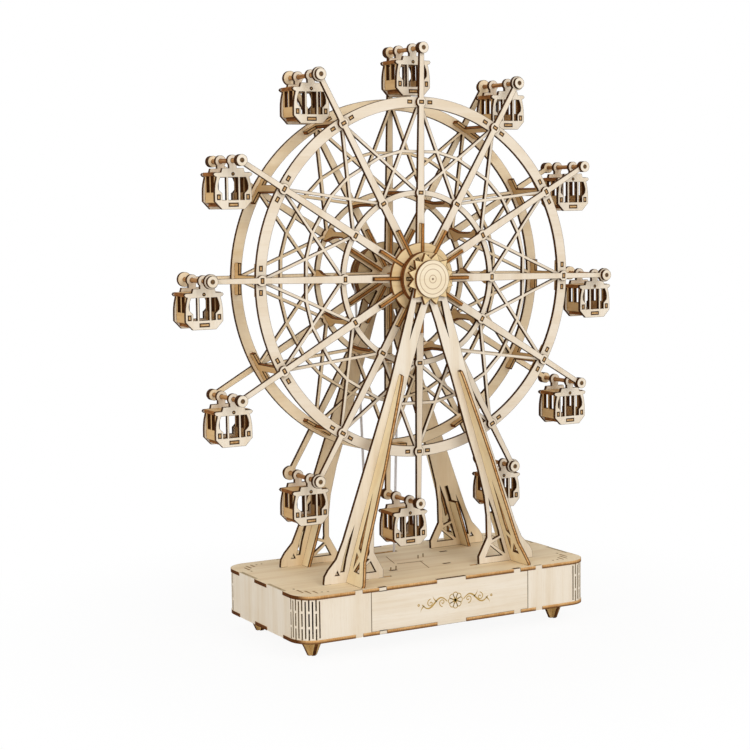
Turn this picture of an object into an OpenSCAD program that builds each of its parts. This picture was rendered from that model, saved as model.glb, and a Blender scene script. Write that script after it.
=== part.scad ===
// Crank ferris wheel toy: a laser-cut plywood wheel with twelve hanging cabins on two A-shaped
// towers over a hollow base, turned by a hand crank through a cord belt.
// +Z is up, the front faces -Y, and the floor is z = 0 under the middle of the whole outline.

/* [Sheet and fits] */
// thickness of the plywood sheet every flat piece is cut from
sheet_t = 2; // [1.5:0.1:3]
// radial room of a rod or shaft turning in its hole
run_fit = 0.08; // [0.02:0.01:0.1]
// room between a turning face and the still face beside it
side_gap = 0.3; // [0.2:0.05:1]
// radius of the thin dowel rods that carry the cabins
rod_r = 1.2; // [0.8:0.1:2]
// radius of the thick dowels used as main axle and crank shaft
axle_r = 2; // [1.5:0.1:3]
// length of the small tenons that close the sheet joints
tenon_w = 3; // [1.8:0.1:4]

/* [Wheel] */
// turn of the wheel in the rest pose, clockwise seen from the front
wheel_turn = 1.15; // [0:0.05:29]
// number of spokes and cabins
spoke_count = 12; // [6:1:12]
// radius of the middle line of the rim
rim_mid_r = 99.7; // [80:0.1:110]
// width of the flat rim
rim_w = 6.2; // [4:0.1:10]
// radius of the middle line of the inner ring
inner_mid_r = 48.6; // [35:0.1:60]
// width of the inner ring
inner_w = 3; // [2:0.1:6]
// distance from the middle plane to the inner face of each rim sheet
rim_y = 15; // [12:0.5:20]
// width of the crossed lattice strips
lattice_w = 1.7; // [1.2:0.1:3]
// width of a spoke where it leaves the hub
spoke_root_w = 5.4; // [4:0.1:8]
// width of a spoke at the rim
spoke_mid_w = 3.3; // [2:0.1:5]
// width of a spoke at its outer end
spoke_tip_w = 2.8; // [2:0.1:4]
// radius of the round bosses where spokes cross the rings
boss_r = 3; // [2:0.1:4]
// radius of the ring at the end of each spoke, of the washers and of the cabin hangers
eye_r = 3.2; // [2.5:0.1:4.5]
// radius of the wider ring at the end of every second spoke
wide_eye_r = 4.1; // [2.5:0.1:5]
// radius where the spokes merge into their hub
spoke_hub_r = 12; // [10:0.5:16]

/* [Hub] */
// radius of the slotted disc in front of the spokes
disc_r = 20.3; // [15:0.1:24]
// outer radius of the radial fins
fin_r = 31.2; // [24:0.1:40]
// inner radius of the radial fins
fin_in_r = 6.8; // [6:0.1:9]
// how far the fins stand out in front of the slotted disc
fin_out = 0.4; // [0.2:0.1:2]
// how far the inner part of a fin reaches past the slotted disc to the hub plate
fin_reach = 1.1; // [0.5:0.1:3]
// radius of the double plate that closes the fins
hub_plate_r = 15.2; // [14:0.1:20]
// radius of the middle of the fin tenons in that plate
fin_tenon_r = 11.4; // [9:0.1:15]
// radial length of the fin tenons
fin_tenon_l = 4; // [2:0.1:6]
// radius over the teeth of the toothed ring
tooth_tip_r = 15.1; // [12:0.1:18]
// radius between the teeth of the toothed ring
tooth_root_r = 11.3; // [8:0.1:15]
// number of triangular teeth
tooth_count = 12; // [8:1:24]
// radius of the small cap disc at the front
cap_r = 10.7; // [8:0.1:14]
// radius of the flanges of the belt pulley on the wheel
pulley_r = 16.8; // [14:0.1:22]
// radius at the bottom of that pulley's groove
pulley_core_r = 14.5; // [10:0.1:20]

/* [Cabins] */
// distance from the middle plane to the inner face of each cabin end plate
cabin_y = 6.9; // [5:0.1:9]
// half width of a cabin over its eaves
cabin_half_w = 11.6; // [9:0.1:13]
// depth of the cabin floor line under the rod
cabin_h = 26.3; // [22:0.1:30]
// room between the rim and the cabin that hangs over it
cabin_gap = 0.9; // [0.5:0.1:5]
// clear height between the base and the lowest cabin
under_gap = 11.9; // [6:0.1:30]

/* [Towers] */
// half width of the A-shaped towers at their feet
tower_half_w = 70; // [60:1:90]
// radius of the round head that carries the axle
tower_head_r = 8.5; // [6:0.1:12]
// how far the side ribs stand out of a tower at their feet
rib_out = 18.5; // [10:0.5:22]
// how far the side ribs stand in behind a tower
rib_in = 7.5; // [4:0.1:10]

/* [Base] */
// width of the base
base_w = 192; // [170:1:220]
// depth of the base
base_d = 100; // [80:1:120]
// radius of the rounded corners
base_r = 13; // [8:0.5:20]
// height of the feet
foot_h = 10.4; // [6:0.1:15]
// clear height between the bottom and the top plate
base_room = 22.4; // [16:0.1:30]
// how far the walls stand in from the plate edges
wall_in = 0.3; // [0.1:0.1:1]
// distance of the seams between panels and bent walls from the middle
seam_x = 51.9; // [40:0.1:60]
// width of the cuts that let the walls bend at the corners
slit_w = 0.85; // [0.5:0.05:1.2]
// number of cut columns in each bent corner
slit_count = 10; // [6:2:14]
// distance of the feet from the middle, sideways
foot_x = 80.8; // [60:0.1:88]
// distance of the feet from the middle, front to back
foot_y = 33.2; // [20:0.1:40]
// width of a foot at its top
foot_w = 14; // [8:0.5:20]

/* [Crank and belt] */
// height of the crank shaft over the floor
crank_z = 23.6; // [21:0.1:30]
// radius of the flanges of the crank pulley
crank_pulley_r = 10; // [8:0.1:10.8]
// radius at the bottom of the crank pulley's groove
crank_core_r = 8; // [5:0.1:9]
// length of the crank arm between its two axes
crank_arm_l = 15; // [10:0.5:17]
// radius of the round ends of the crank arm
crank_eye_r = 4.5; // [3.5:0.1:6]
// radius of the crank knob
knob_r = 4; // [3:0.1:6]
// length of the crank knob
knob_l = 13; // [8:0.5:20]
// gap between the rear edge of the base and the crank arm
crank_gap = 1; // [0.5:0.1:3]
// gap at each end of the knob
knob_gap = 0.5; // [0.2:0.1:1]
// distance of the inner bearing board from the middle plane
board_y = 22; // [18:0.5:26]
// radius of the belt cord
belt_r = 0.75; // [0.5:0.05:1]
// how much thinner the stretched cord is where it bends round a pulley
belt_thin = 0.04; // [0.02:0.01:0.1]
// room between the cord and the ends of its slot in the top plate
belt_slot_gap = 0.7; // [0.3:0.1:3]

/* [Hidden] */
$fn = 48;
half = 0.5;
whole_turn = 360;
right_angle = 90;
spoke_step = whole_turn / spoke_count;
wood = [0.90, 0.78, 0.60];
dowel = [0.80, 0.66, 0.46];
cord = [0.86, 0.86, 0.80];

// stations along the axle, measured from the middle plane outwards
spoke_y = rim_y + sheet_t;
disc_y = spoke_y + sheet_t;
washer_y = disc_y;
rod_end_y = washer_y + sheet_t;
fin_y = disc_y + sheet_t + fin_out;
hub_plate_y = disc_y + sheet_t + fin_reach;
tower_y = hub_plate_y + 2 * sheet_t + side_gap;
ring_y = tower_y + sheet_t + side_gap;
cap_y = ring_y + sheet_t;
pulley_end_y = ring_y + 3 * sheet_t;
belt_y = ring_y + 3 * sheet_t * half;

// heights and edges of the base
floor_z = foot_h;
room_z = foot_h + sheet_t;
top_z = room_z + base_room;
deck_z = top_z + sheet_t;
rod_ring_r = rim_mid_r + rim_w * half + cabin_h + cabin_gap;
hub_z = deck_z + under_gap + cabin_h + rod_ring_r;
tower_h = hub_z - deck_z;
wall_x = base_w * half - wall_in;
wall_y = base_d * half - wall_in;
wall_r = base_r - wall_in;
corner_x = base_w * half - base_r;
corner_y = base_d * half - base_r;

// stations of the crank, measured from the middle plane to the rear
arm_y = base_d * half + crank_gap;
knob_y = arm_y + 2 * sheet_t + knob_gap;
pin_head_y = knob_y + knob_l + knob_gap;
crank_end_y = pin_head_y + sheet_t;
mid_y = -(crank_end_y - base_d * half) * half;
shaft_in_y = board_y - sheet_t * half;
collar_r = 2 * axle_r;

// outlines as shares of the named sizes
leg_outer_shares = [
  [0.111, 1.014], [0.164, 0.9405], [0.264, 0.8038], [0.371, 0.6552], [0.6386, 0.349],
  [0.82, 0.1409], [0.8857, 0.0815], [0.96, 0.0488], [0.9929, 0.0279], [1, 0.0071], [1, 0]];
leg_inner_shares = [
  [0.4614, 0], [0.4586, 0.0273], [0.4914, 0.0523], [0.5429, 0.0904], [0.54, 0.1677],
  [0.5186, 0.239], [0.4571, 0.3401], [0.3771, 0.4352], [0.2043, 0.67], [0.1329, 0.7562],
  [0.0629, 0.8514], [0.0114, 0.9108], [0, 0.9168]];
leg_window_shares = [
  [[0.07, 0.9227], [0.12, 0.9227], [0.1886, 0.7949]],
  [[0.7186, 0.1908], [0.7714, 0.1421], [0.8229, 0.0832], [0.8514, 0.0375], [0.817, 0.0375],
   [0.7943, 0.0832], [0.7514, 0.1421]],
  [[0.8786, 0.0428], [0.8614, 0.0268], [0.9014, 0.0273]],
  [[0.557, 0.23], [0.607, 0.1766], [0.6314, 0.1433], [0.6557, 0.113], [0.667, 0.0927],
   [0.594, 0.0815], [0.5857, 0.0922], [0.5871, 0.1159], [0.5829, 0.1457], [0.5714, 0.1754]],
  [[0.6757, 0.0838], [0.7171, 0.0285], [0.5871, 0.0684]],
  [[0.5743, 0.0612], [0.6914, 0.022], [0.5243, 0.0226]]];
rib_edge_shares = [
  [0.97, 0], [1, 0.0104], [0.89, 0.0538], [0.708, 0.1146], [0.649, 0.2014], [0.611, 0.3142],
  [0.557, 0.4184], [0.514, 0.5486], [0.351, 0.7656], [0.184, 0.97], [0.129, 0.995], [0, 1]];
rib_window_shares = [
  [[0.23, 0.4375], [0.368, 0.25], [0.397, 0.198], [0.436, 0.15], [0.248, 0.168],
   [0.232, 0.206], [0.234, 0.238]],
  [[0.193, 0.144], [0.354, 0.128], [0.216, 0.07]],
  [[0.496, 0.107], [0.303, 0.059], [0.634, 0.056]]];
rib_foot_share = 0.789;
rib_head_share = 0.2757;
rib_top_share = 0.6837;
rib_slot_low_share = 0.0799;
rib_slot_high_share = 0.3264;
rib_inner_share = 0.2474;
cabin_edge_shares = [
  [0.543, 0.152], [0.603, 0.24], [0.93, 0.243], [1, 0.278], [0.93, 0.318], [0.836, 0.331],
  [0.905, 0.46], [0.94, 0.58], [0.948, 0.7], [0.948, 0.833], [0.586, 1]];
cabin_window_shares = [
  [0.355, 0.342], [0.655, 0.342], [0.741, 0.437], [0.776, 0.513], [0.759, 0.589],
  [0.638, 0.646], [0.569, 0.669], [0.569, 0.806], [0.355, 0.806]];
cabin_middle_share = 0.255;
cabin_window_top_share = 0.342;
cabin_window_low_share = 0.806;
cabin_neck_share = 0.19;
cabin_roof_share = 0.274;
cabin_roof_w_share = 0.93;
cabin_wall_share = 0.75;
cabin_wall_low_share = 0.867;
cabin_tenon_top_share = 0.694;
cabin_tenon_low_share = 0.801;
cabin_slot_low_share = 0.646;
cabin_slot_x_share = 0.42;
cabin_slot_w_share = 0.62;
cabin_floor_share = 0.69;
cabin_floor_tab_share = 0.25;
cabin_peg_share = 0.27;
rim_block_share = 0.3;
rim_block_w_share = 0.09;
rim_peg_share = 0.0662;
rim_waist_share = 0.022;
tie_shares = [[0.043, 1], [0.041, 0.8], [0.027, 0.6], [0.017, 0.4], [0.0145, 0]];
lattice_share = 0.484;
foot_shares = [[0.5, 1], [0.5, 0.85], [0.35, 0.51], [0.175, 0]];
side_tab_shares = [0.0767, 0.284];
wrap_tab_shares = [0.2984, 0.3229];
panel_tab_shares = [0.2193, 0.2448];
centre_tab_share = 0.0503;
tower_tenon_shares = [[0.5, 0.6], [0.77, 0.94]];
slit_share = [0.28, 0.34, 0.66, 0.72];
slit_end_share = 0.04;
slot_x_shares = [0.3785, 0.447];
slot_y_share = 0.275;
cross_x_share = 0.36;
cross_y_shares = [-0.15, 0.15];
cross_tab_shares = [[0.081, 0.107], [0.164, 0.19]];
board_share = 0.12;
board_tab_shares = [0.06, 0.09];

// share points turned into points of a half outline
function scaled(shares, w, h) = [for (p = shares) [p[0] * w, p[1] * h]];

// moves a piece from the middle plane of the wheel to the frame of the file
module placed() {
  translate([0, mid_y, 0]) children();
}

// an outline drawn over x and z, cut from the sheet between y and y + t
module upright(y, t = sheet_t) {
  translate([0, y + t, 0])
    rotate([right_angle, 0, 0])
      linear_extrude(t) children();
}

// the same outline at the front and at the rear of the middle plane
module both_sides(y, t = sheet_t) {
  upright(-y - t, t) children();
  upright(y, t) children();
}

// an outline drawn over y and z, cut from a sheet that stands on the plane x = 0
module lengthwise() {
  translate([-sheet_t * half, 0, 0])
    rotate([right_angle, 0, right_angle])
      linear_extrude(sheet_t) children();
}

// a rod or disc along Y between two stations
module along_y(r, y0, y1) {
  translate([0, y1, 0])
    rotate([right_angle, 0, 0])
      cylinder(r = r, h = y1 - y0);
}

// repeats an outline at every spoke, or at every second one, upright at the first one
module each_spoke(first = 0, every = 1) {
  for (k = [first : every : spoke_count - 1])
    rotate(-(k * spoke_step + wheel_turn)) children();
}

// repeats a solid at every spoke, with +Z pointing outwards
module each_radial() {
  translate([0, 0, hub_z])
    for (k = [0 : spoke_count - 1])
      rotate([0, k * spoke_step + wheel_turn, 0]) children();
}

module mirrored_x() {
  children();
  mirror([1, 0]) children();
}

// a rectangle from its lower left to its upper right corner
module span(x0, y0, x1, y1) {
  translate([x0, y0]) square([x1 - x0, y1 - y0]);
}

module rounded(w, d, r) {
  square([w - 2 * r, d], center = true);
  square([w, d - 2 * r], center = true);
  for (sx = [-1, 1], sy = [-1, 1])
    translate([sx * (w * half - r), sy * (d * half - r)]) circle(r = r);
}

// the bent wall line seen from above
module wall_line(over = 0) {
  difference() {
    rounded(2 * (wall_x + over), 2 * (wall_y + over), wall_r + over);
    rounded(2 * (wall_x - sheet_t), 2 * (wall_y - sheet_t), wall_r - sheet_t);
  }
}

// the parts of the plan where a wall has tabs
module wrap_tab_zones() {
  for (sx = [-1, 1], sy = [-1, 1])
    wrap_tab_zone(sx, sy);
}

module wrap_tab_zone(sx, sy) {
  mirror([sx < 0 ? 1 : 0, 0]) mirror([0, sy < 0 ? 1 : 0]) {
    span(corner_x, base_d * side_tab_shares[0], base_w, base_d * side_tab_shares[1]);
    span(base_w * wrap_tab_shares[0], corner_y, base_w * wrap_tab_shares[1], base_d);
  }
}

module panel_tab_zones() {
  for (sy = [0, 1])
    mirror([0, sy]) {
      span(-base_w * centre_tab_share, corner_y, base_w * centre_tab_share, base_d);
      mirrored_x()
        span(base_w * panel_tab_shares[0], corner_y, base_w * panel_tab_shares[1], base_d);
    }
}

// a flat plate of the base with the notches for all wall tabs
module notched_plate() {
  difference() {
    rounded(base_w, base_d, base_r);
    intersection() {
      wall_line(sheet_t);
      union() {
        wrap_tab_zones();
        panel_tab_zones();
      }
    }
  }
}

module foot_tenon_zones() {
  for (sx = [-1, 1], sy = [-1, 1])
    translate([sx * foot_x, sy * foot_y]) {
      square([foot_w * half, sheet_t], center = true);
      square([sheet_t, foot_w * half], center = true);
    }
}

module cross_tab_zones() {
  for (i = [0, 1])
    mirrored_x()
      span(base_w * cross_tab_shares[i][0], base_d * cross_y_shares[i] - sheet_t * half,
        base_w * cross_tab_shares[i][1], base_d * cross_y_shares[i] + sheet_t * half);
}

module board_tab_zones() {
  mirrored_x()
    span(base_w * board_tab_shares[0], board_y, base_w * board_tab_shares[1], board_y + sheet_t);
}

module tower_tenon_zones() {
  for (sy = [0, 1])
    mirror([0, sy])
      for (s = tower_tenon_shares)
        mirrored_x()
          span(tower_half_w * s[0], tower_y, tower_half_w * s[1], tower_y + sheet_t);
}

module base_bottom_plate() {
  color(wood) placed()
    translate([0, 0, floor_z]) linear_extrude(sheet_t)
      difference() {
        notched_plate();
        foot_tenon_zones();
        cross_tab_zones();
        board_tab_zones();
      }
}

belt_slot_x = crank_core_r + 3 * belt_r + belt_slot_gap;

module base_top_plate() {
  color(wood) placed()
    translate([0, 0, top_z]) linear_extrude(sheet_t)
      difference() {
        notched_plate();
        cross_tab_zones();
        tower_tenon_zones();
        mirrored_x()
          span(tower_half_w * slot_x_shares[0], -base_d * slot_y_share - sheet_t * half,
            tower_half_w * slot_x_shares[1], -base_d * slot_y_share + sheet_t * half);
        span(-belt_slot_x, belt_y - 2 * belt_r, belt_slot_x, belt_y + 2 * belt_r);
      }
}

// one column of cuts through a bent corner
module slit_column(open) {
  d = 2 * sheet_t;
  if (open) {
    for (s = [[-slit_end_share, slit_share[0]], [slit_share[1], slit_share[2]],
              [slit_share[3], 1 + slit_end_share]])
      translate([wall_r - d, -slit_w * half, room_z + base_room * s[0]])
        cube([2 * d, slit_w, base_room * (s[1] - s[0])]);
  } else {
    translate([wall_r - d, -slit_w * half, room_z + base_room * slit_end_share])
      cube([2 * d, slit_w, base_room * (1 - 2 * slit_end_share)]);
  }
}

module right_wrap() {
  step = right_angle / slit_count;
  difference() {
    union() {
      translate([0, 0, room_z]) linear_extrude(base_room)
        intersection() {
          wall_line();
          span(seam_x, -base_d, base_w, base_d);
        }
      translate([0, 0, floor_z]) linear_extrude(base_room + 2 * sheet_t)
        intersection() {
          wall_line();
          wrap_tab_zones();
          span(seam_x, -base_d, base_w, base_d);
        }
    }
    for (sy = [0, 1])
      mirror([0, sy, 0])
        translate([corner_x, corner_y, 0])
          for (i = [0 : slit_count - 1])
            rotate((i + half) * step) slit_column(i % 2 == 0);
  }
}

module right_wall_wrap() {
  color(wood) placed() right_wrap();
}

module left_wall_wrap() {
  color(wood) placed() mirror([1, 0, 0]) right_wrap();
}

module centre_panel() {
  span(-seam_x, room_z, seam_x, top_z);
  span(-base_w * centre_tab_share, floor_z, base_w * centre_tab_share, deck_z);
  mirrored_x()
    span(base_w * panel_tab_shares[0], floor_z, base_w * panel_tab_shares[1], deck_z);
}

module front_centre_panel() {
  color(wood) placed() upright(-wall_y) centre_panel();
}

module rear_centre_panel() {
  color(wood) placed() upright(wall_y - sheet_t)
    difference() {
      centre_panel();
      translate([0, crank_z]) circle(r = axle_r + run_fit);
    }
}

// one blade of a foot; the two blades of a foot are halved into each other
module foot_blade(slot_low, slot_high) {
  pts = scaled(foot_shares, foot_w, foot_h);
  difference() {
    union() {
      polygon(concat(pts, [for (i = [len(pts) - 1 : -1 : 0]) [-pts[i][0], pts[i][1]]]));
      span(-foot_w * half * half, foot_h, foot_w * half * half, foot_h + sheet_t);
    }
    span(-sheet_t * half, slot_low, sheet_t * half, slot_high);
  }
}

module base_feet() {
  h = foot_h * half;
  color(wood) placed()
    for (sx = [-1, 1], sy = [-1, 1])
      translate([sx * foot_x, sy * foot_y, 0]) {
        upright(-sheet_t * half) foot_blade(-sheet_t, h);
        lengthwise() foot_blade(h, foot_h + 2 * sheet_t);
      }
}

module inner_bearing_board() {
  color(wood) placed() upright(board_y)
    difference() {
      union() {
        span(-base_w * board_share, room_z, base_w * board_share, top_z);
        mirrored_x()
          span(base_w * board_tab_shares[0], floor_z, base_w * board_tab_shares[1], room_z);
      }
      translate([0, crank_z]) circle(r = axle_r + run_fit);
    }
}

module base_cross_ribs() {
  color(wood) placed()
    for (i = [0, 1])
      upright(base_d * cross_y_shares[i] - sheet_t * half) {
        span(-base_w * cross_x_share, room_z, base_w * cross_x_share, top_z);
        mirrored_x()
          span(base_w * cross_tab_shares[i][0], floor_z, base_w * cross_tab_shares[i][1], deck_z);
      }
}

// the side ribs follow the middle line of the tower legs
rib_x = tower_half_w * rib_foot_share;
rib_rise = tower_h * rib_top_share;
rib_lean = atan((rib_x - tower_half_w * rib_head_share) / rib_rise);
rib_h = rib_rise / cos(rib_lean);

// puts a leaning side rib, drawn over y and its own length, on its foot
module on_rib() {
  translate([rib_x, 0, deck_z])
    rotate([0, -rib_lean, 0]) lengthwise() children();
}

module tower_outline() {
  pts = concat([[0, tower_h]], scaled(leg_outer_shares, tower_half_w, tower_h),
    scaled(leg_inner_shares, tower_half_w, tower_h));
  difference() {
    union() {
      mirrored_x()
        translate([0, deck_z]) polygon(pts);
      mirrored_x()
        for (s = tower_tenon_shares)
          span(tower_half_w * s[0], top_z, tower_half_w * s[1], deck_z);
      translate([0, hub_z]) circle(r = tower_head_r);
    }
    translate([0, hub_z]) circle(r = axle_r + run_fit);
    for (w = leg_window_shares)
      mirrored_x()
        translate([0, deck_z]) polygon(scaled(w, tower_half_w, tower_h));
  }
}

module tower() {
  difference() {
    upright(tower_y) tower_outline();
    for (m = [0, 1])
      mirror([m, 0, 0])
        on_rib()
          span(0, rib_h * rib_slot_low_share, 2 * tower_y, rib_h * rib_slot_high_share);
  }
}

module rear_tower() {
  color(wood) placed() tower();
}

module front_tower() {
  color(wood) placed() mirror([0, 1, 0]) tower();
}

module rib_outline() {
  foot = sheet_t;
  face = tower_y + sheet_t;
  difference() {
    union() {
      translate([face, 0])
        polygon(concat([[0, -foot]], [[rib_out * rib_edge_shares[0][0], -foot]],
          scaled(rib_edge_shares, rib_out, rib_h)));
      span(tower_y, rib_h * rib_slot_low_share, face, rib_h * rib_inner_share);
      span(tower_y - rib_in, -foot, tower_y, rib_h * rib_inner_share);
    }
    for (w = rib_window_shares)
      translate([face, 0]) polygon(scaled(w, rib_out, rib_h));
  }
}

module rear_ribs() {
  for (m = [0, 1])
    mirror([m, 0, 0])
      difference() {
        on_rib() rib_outline();
        translate([0, 0, deck_z - 2 * foot_h]) cube([base_w, base_d, 2 * foot_h]);
      }
}

module rear_tower_ribs() {
  color(wood) placed() rear_ribs();
}

module front_tower_ribs() {
  color(wood) placed() mirror([0, 1, 0]) rear_ribs();
}

module main_axle() {
  color(dowel) placed()
    translate([0, 0, hub_z]) along_y(axle_r, -cap_y, pulley_end_y);
}

module front_hub_cap() {
  color(wood) placed() translate([0, 0, hub_z])
    upright(-cap_y - sheet_t) circle(r = cap_r);
}

module toothed_ring() {
  step = whole_turn / tooth_count;
  pts = [for (i = [0 : 2 * tooth_count - 1])
    let (r = i % 2 == 0 ? tooth_tip_r : tooth_root_r, a = (i + 1) * step * half)
    [r * sin(a), r * cos(a)]];
  color(wood) placed() translate([0, 0, hub_z])
    upright(-ring_y - sheet_t)
      rotate(-wheel_turn)
        difference() {
          polygon(pts);
          circle(r = axle_r);
        }
}

module hub_plates() {
  color(wood) placed() translate([0, 0, hub_z])
    both_sides(hub_plate_y, 2 * sheet_t)
      difference() {
        circle(r = hub_plate_r);
        circle(r = axle_r);
        each_spoke()
          translate([0, fin_tenon_r]) square([sheet_t, fin_tenon_l], center = true);
      }
}

module fin_slots() {
  each_spoke() span(-sheet_t * half, fin_in_r, sheet_t * half, fin_r);
}

module hub_discs() {
  color(wood) placed() translate([0, 0, hub_z])
    both_sides(disc_y)
      difference() {
        circle(r = disc_r);
        circle(r = axle_r);
        fin_slots();
      }
}

// one short radial fin that ties spokes, disc and hub plate of one side together
module fin_outline() {
  span(rim_y, fin_in_r, fin_y, fin_r);
  span(rim_y, fin_in_r, hub_plate_y, hub_plate_r);
  span(rim_y, fin_tenon_r - fin_tenon_l * half,
    hub_plate_y + 2 * sheet_t, fin_tenon_r + fin_tenon_l * half);
}

module hub_fins() {
  color(wood) placed() each_radial() lengthwise() mirrored_x() fin_outline();
}

module peg_hole(r) {
  translate([0, r]) square([tenon_w, sheet_t], center = true);
}

module spokes_outline() {
  difference() {
    union() {
      circle(r = spoke_hub_r);
      each_spoke() {
        polygon([[-spoke_root_w * half, 0], [spoke_root_w * half, 0],
          [spoke_mid_w * half, rim_mid_r], [spoke_tip_w * half, rod_ring_r],
          [-spoke_tip_w * half, rod_ring_r], [-spoke_mid_w * half, rim_mid_r]]);
        translate([0, inner_mid_r]) circle(r = boss_r);
        translate([0, rim_mid_r]) circle(r = boss_r);
        translate([0, rod_ring_r]) circle(r = eye_r);
      }
      each_spoke(1, 2)
        translate([0, rod_ring_r]) circle(r = wide_eye_r);
    }
    circle(r = axle_r);
    fin_slots();
    each_spoke() {
      peg_hole(inner_mid_r);
      peg_hole(rim_mid_r);
      translate([0, rod_ring_r]) circle(r = rod_r);
    }
  }
}

module front_spokes() {
  color(wood) placed() translate([0, 0, hub_z]) upright(-spoke_y - sheet_t) spokes_outline();
}

module rear_spokes() {
  color(wood) placed() translate([0, 0, hub_z]) upright(spoke_y) spokes_outline();
}

// a straight strip between two points of the sheet
module strip(p, q) {
  d = q - p;
  translate(p)
    rotate(atan2(d[1], d[0]))
      translate([0, -lattice_w * half]) square([norm(d), lattice_w]);
}

module ring(mid_r, w) {
  difference() {
    circle(r = mid_r + w * half);
    circle(r = mid_r - w * half);
  }
}

module rim_outline() {
  outer = [0, rim_mid_r];
  inner = inner_mid_r * [sin(spoke_step), cos(spoke_step)];
  knot = outer + lattice_share * (inner - outer);
  knot_r = norm(knot);
  knot_a = atan2(knot[0], knot[1]);
  next = knot_r * [sin(spoke_step - knot_a), cos(spoke_step - knot_a)];
  difference() {
    union() {
      ring(rim_mid_r, rim_w);
      ring(inner_mid_r, inner_w);
      each_spoke() {
        strip(outer, inner);
        strip(outer, [-inner[0], inner[1]]);
        strip([-knot[0], knot[1]], knot);
        strip(knot, next);
        translate([0, inner_mid_r]) circle(r = boss_r);
      }
    }
    each_spoke() {
      peg_hole(inner_mid_r);
      peg_hole(rim_mid_r);
      for (s = [-1, 1])
        translate([s * rim_mid_r * rim_peg_share, 0]) peg_hole(rim_mid_r);
    }
  }
}

module front_rim_lattice() {
  color(wood) placed() translate([0, 0, hub_z]) upright(-rim_y - sheet_t) rim_outline();
}

module rear_rim_lattice() {
  color(wood) placed() translate([0, 0, hub_z]) upright(rim_y) rim_outline();
}

// a flat tie across the wheel, drawn over its width and y, lying at the radius r
module tie_at(r) {
  each_radial()
    translate([0, 0, r - sheet_t * half]) linear_extrude(sheet_t) children();
}

module rim_connectors() {
  w = rim_mid_r * rim_block_w_share;
  waist = rim_mid_r * rim_waist_share;
  color(wood) placed() tie_at(rim_mid_r) {
    span(-waist, -rim_y, waist, rim_y);
    for (m = [0, 1])
      mirror([0, m]) {
        span(-w, rim_y * (1 - rim_block_share), w, rim_y);
        span(-tenon_w * half, rim_y, tenon_w * half, disc_y);
        for (s = [-1, 1])
          translate([s * rim_mid_r * rim_peg_share, 0])
            span(-tenon_w * half, rim_y, tenon_w * half, spoke_y);
      }
  }
}

module inner_connectors() {
  side = scaled(tie_shares, rim_mid_r, rim_y);
  color(wood) placed() tie_at(inner_mid_r)
    for (m = [0, 1])
      mirror([0, m]) {
        polygon(concat(side, [for (i = [len(side) - 1 : -1 : 0]) [-side[i][0], side[i][1]]]));
        span(-tenon_w * half, rim_y, tenon_w * half, disc_y);
      }
}

// three glued discs with the groove between the outer two
module pulley(flange_r, core_r) {
  for (i = [0 : 2])
    upright(ring_y + i * sheet_t)
      difference() {
        circle(r = i == 1 ? core_r : flange_r);
        circle(r = axle_r);
      }
}

module wheel_pulley() {
  color(wood) placed() translate([0, 0, hub_z]) pulley(pulley_r, pulley_core_r);
}

module cabin_rods() {
  color(dowel) placed() each_radial()
    translate([0, 0, rod_ring_r]) along_y(rod_r, -rod_end_y, rod_end_y);
}

module rod_washers() {
  color(wood) placed() each_radial()
    translate([0, 0, rod_ring_r])
      both_sides(washer_y)
        difference() {
          circle(r = eye_r);
          circle(r = rod_r);
        }
}

// the cord belt: two straight runs and two arcs around the pulleys
module drive_belt() {
  bent_r = belt_r - belt_thin;
  up_r = pulley_core_r + bent_r + run_fit;
  low_r = crank_core_r + bent_r + run_fit;
  reach = hub_z - crank_z;
  tilt = asin((up_r - low_r) / reach);
  run = reach * cos(tilt);
  color(cord) placed() translate([0, belt_y, 0]) {
    for (m = [0, 1])
      mirror([m, 0, 0])
        translate([0, 0, crank_z])
          rotate([0, tilt, 0])
            translate([low_r, 0, 0]) cylinder(r = belt_r, h = run);
    translate([0, 0, hub_z]) rotate([right_angle, 0, 0])
      rotate(-tilt) rotate_extrude(angle = whole_turn * half + 2 * tilt)
        translate([up_r, 0]) circle(r = bent_r);
    translate([0, 0, crank_z]) rotate([right_angle, 0, 0])
      rotate(whole_turn * half + tilt) rotate_extrude(angle = whole_turn * half - 2 * tilt)
        translate([low_r, 0]) circle(r = bent_r);
  }
}

module at_crank() {
  placed() translate([0, 0, crank_z]) children();
}

module crank_shaft() {
  color(dowel) at_crank() along_y(axle_r, shaft_in_y, arm_y + 2 * sheet_t);
}

module crank_collars() {
  color(wood) at_crank()
    for (y = [board_y + sheet_t + side_gap, wall_y - 2 * sheet_t - side_gap])
      upright(y)
        difference() {
          circle(r = collar_r);
          circle(r = axle_r);
        }
}

module crank_pulley() {
  color(wood) at_crank() pulley(crank_pulley_r, crank_core_r);
}

module crank_arm() {
  color(wood) at_crank()
    for (i = [0, 1])
      upright(arm_y + i * sheet_t)
        difference() {
          union() {
            circle(r = crank_eye_r);
            translate([0, crank_arm_l]) circle(r = crank_eye_r);
            span(-crank_eye_r, 0, crank_eye_r, crank_arm_l);
          }
          circle(r = axle_r);
          translate([0, crank_arm_l]) circle(r = rod_r);
        }
}

module crank_pin() {
  color(dowel) at_crank() translate([0, 0, crank_arm_l]) {
    along_y(rod_r, arm_y, crank_end_y);
    along_y(2 * rod_r, pin_head_y, crank_end_y);
  }
}

module crank_knob() {
  color(dowel) at_crank() translate([0, 0, crank_arm_l])
    difference() {
      along_y(knob_r, knob_y, knob_y + knob_l);
      along_y(rod_r + run_fit, arm_y, crank_end_y);
    }
}

// hangs a cabin from the rod of one spoke, always upright
module at_rod(k) {
  a = (k - 1) * spoke_step + wheel_turn;
  placed() translate([rod_ring_r * sin(a), 0, hub_z + rod_ring_r * cos(a)]) children();
}

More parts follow.
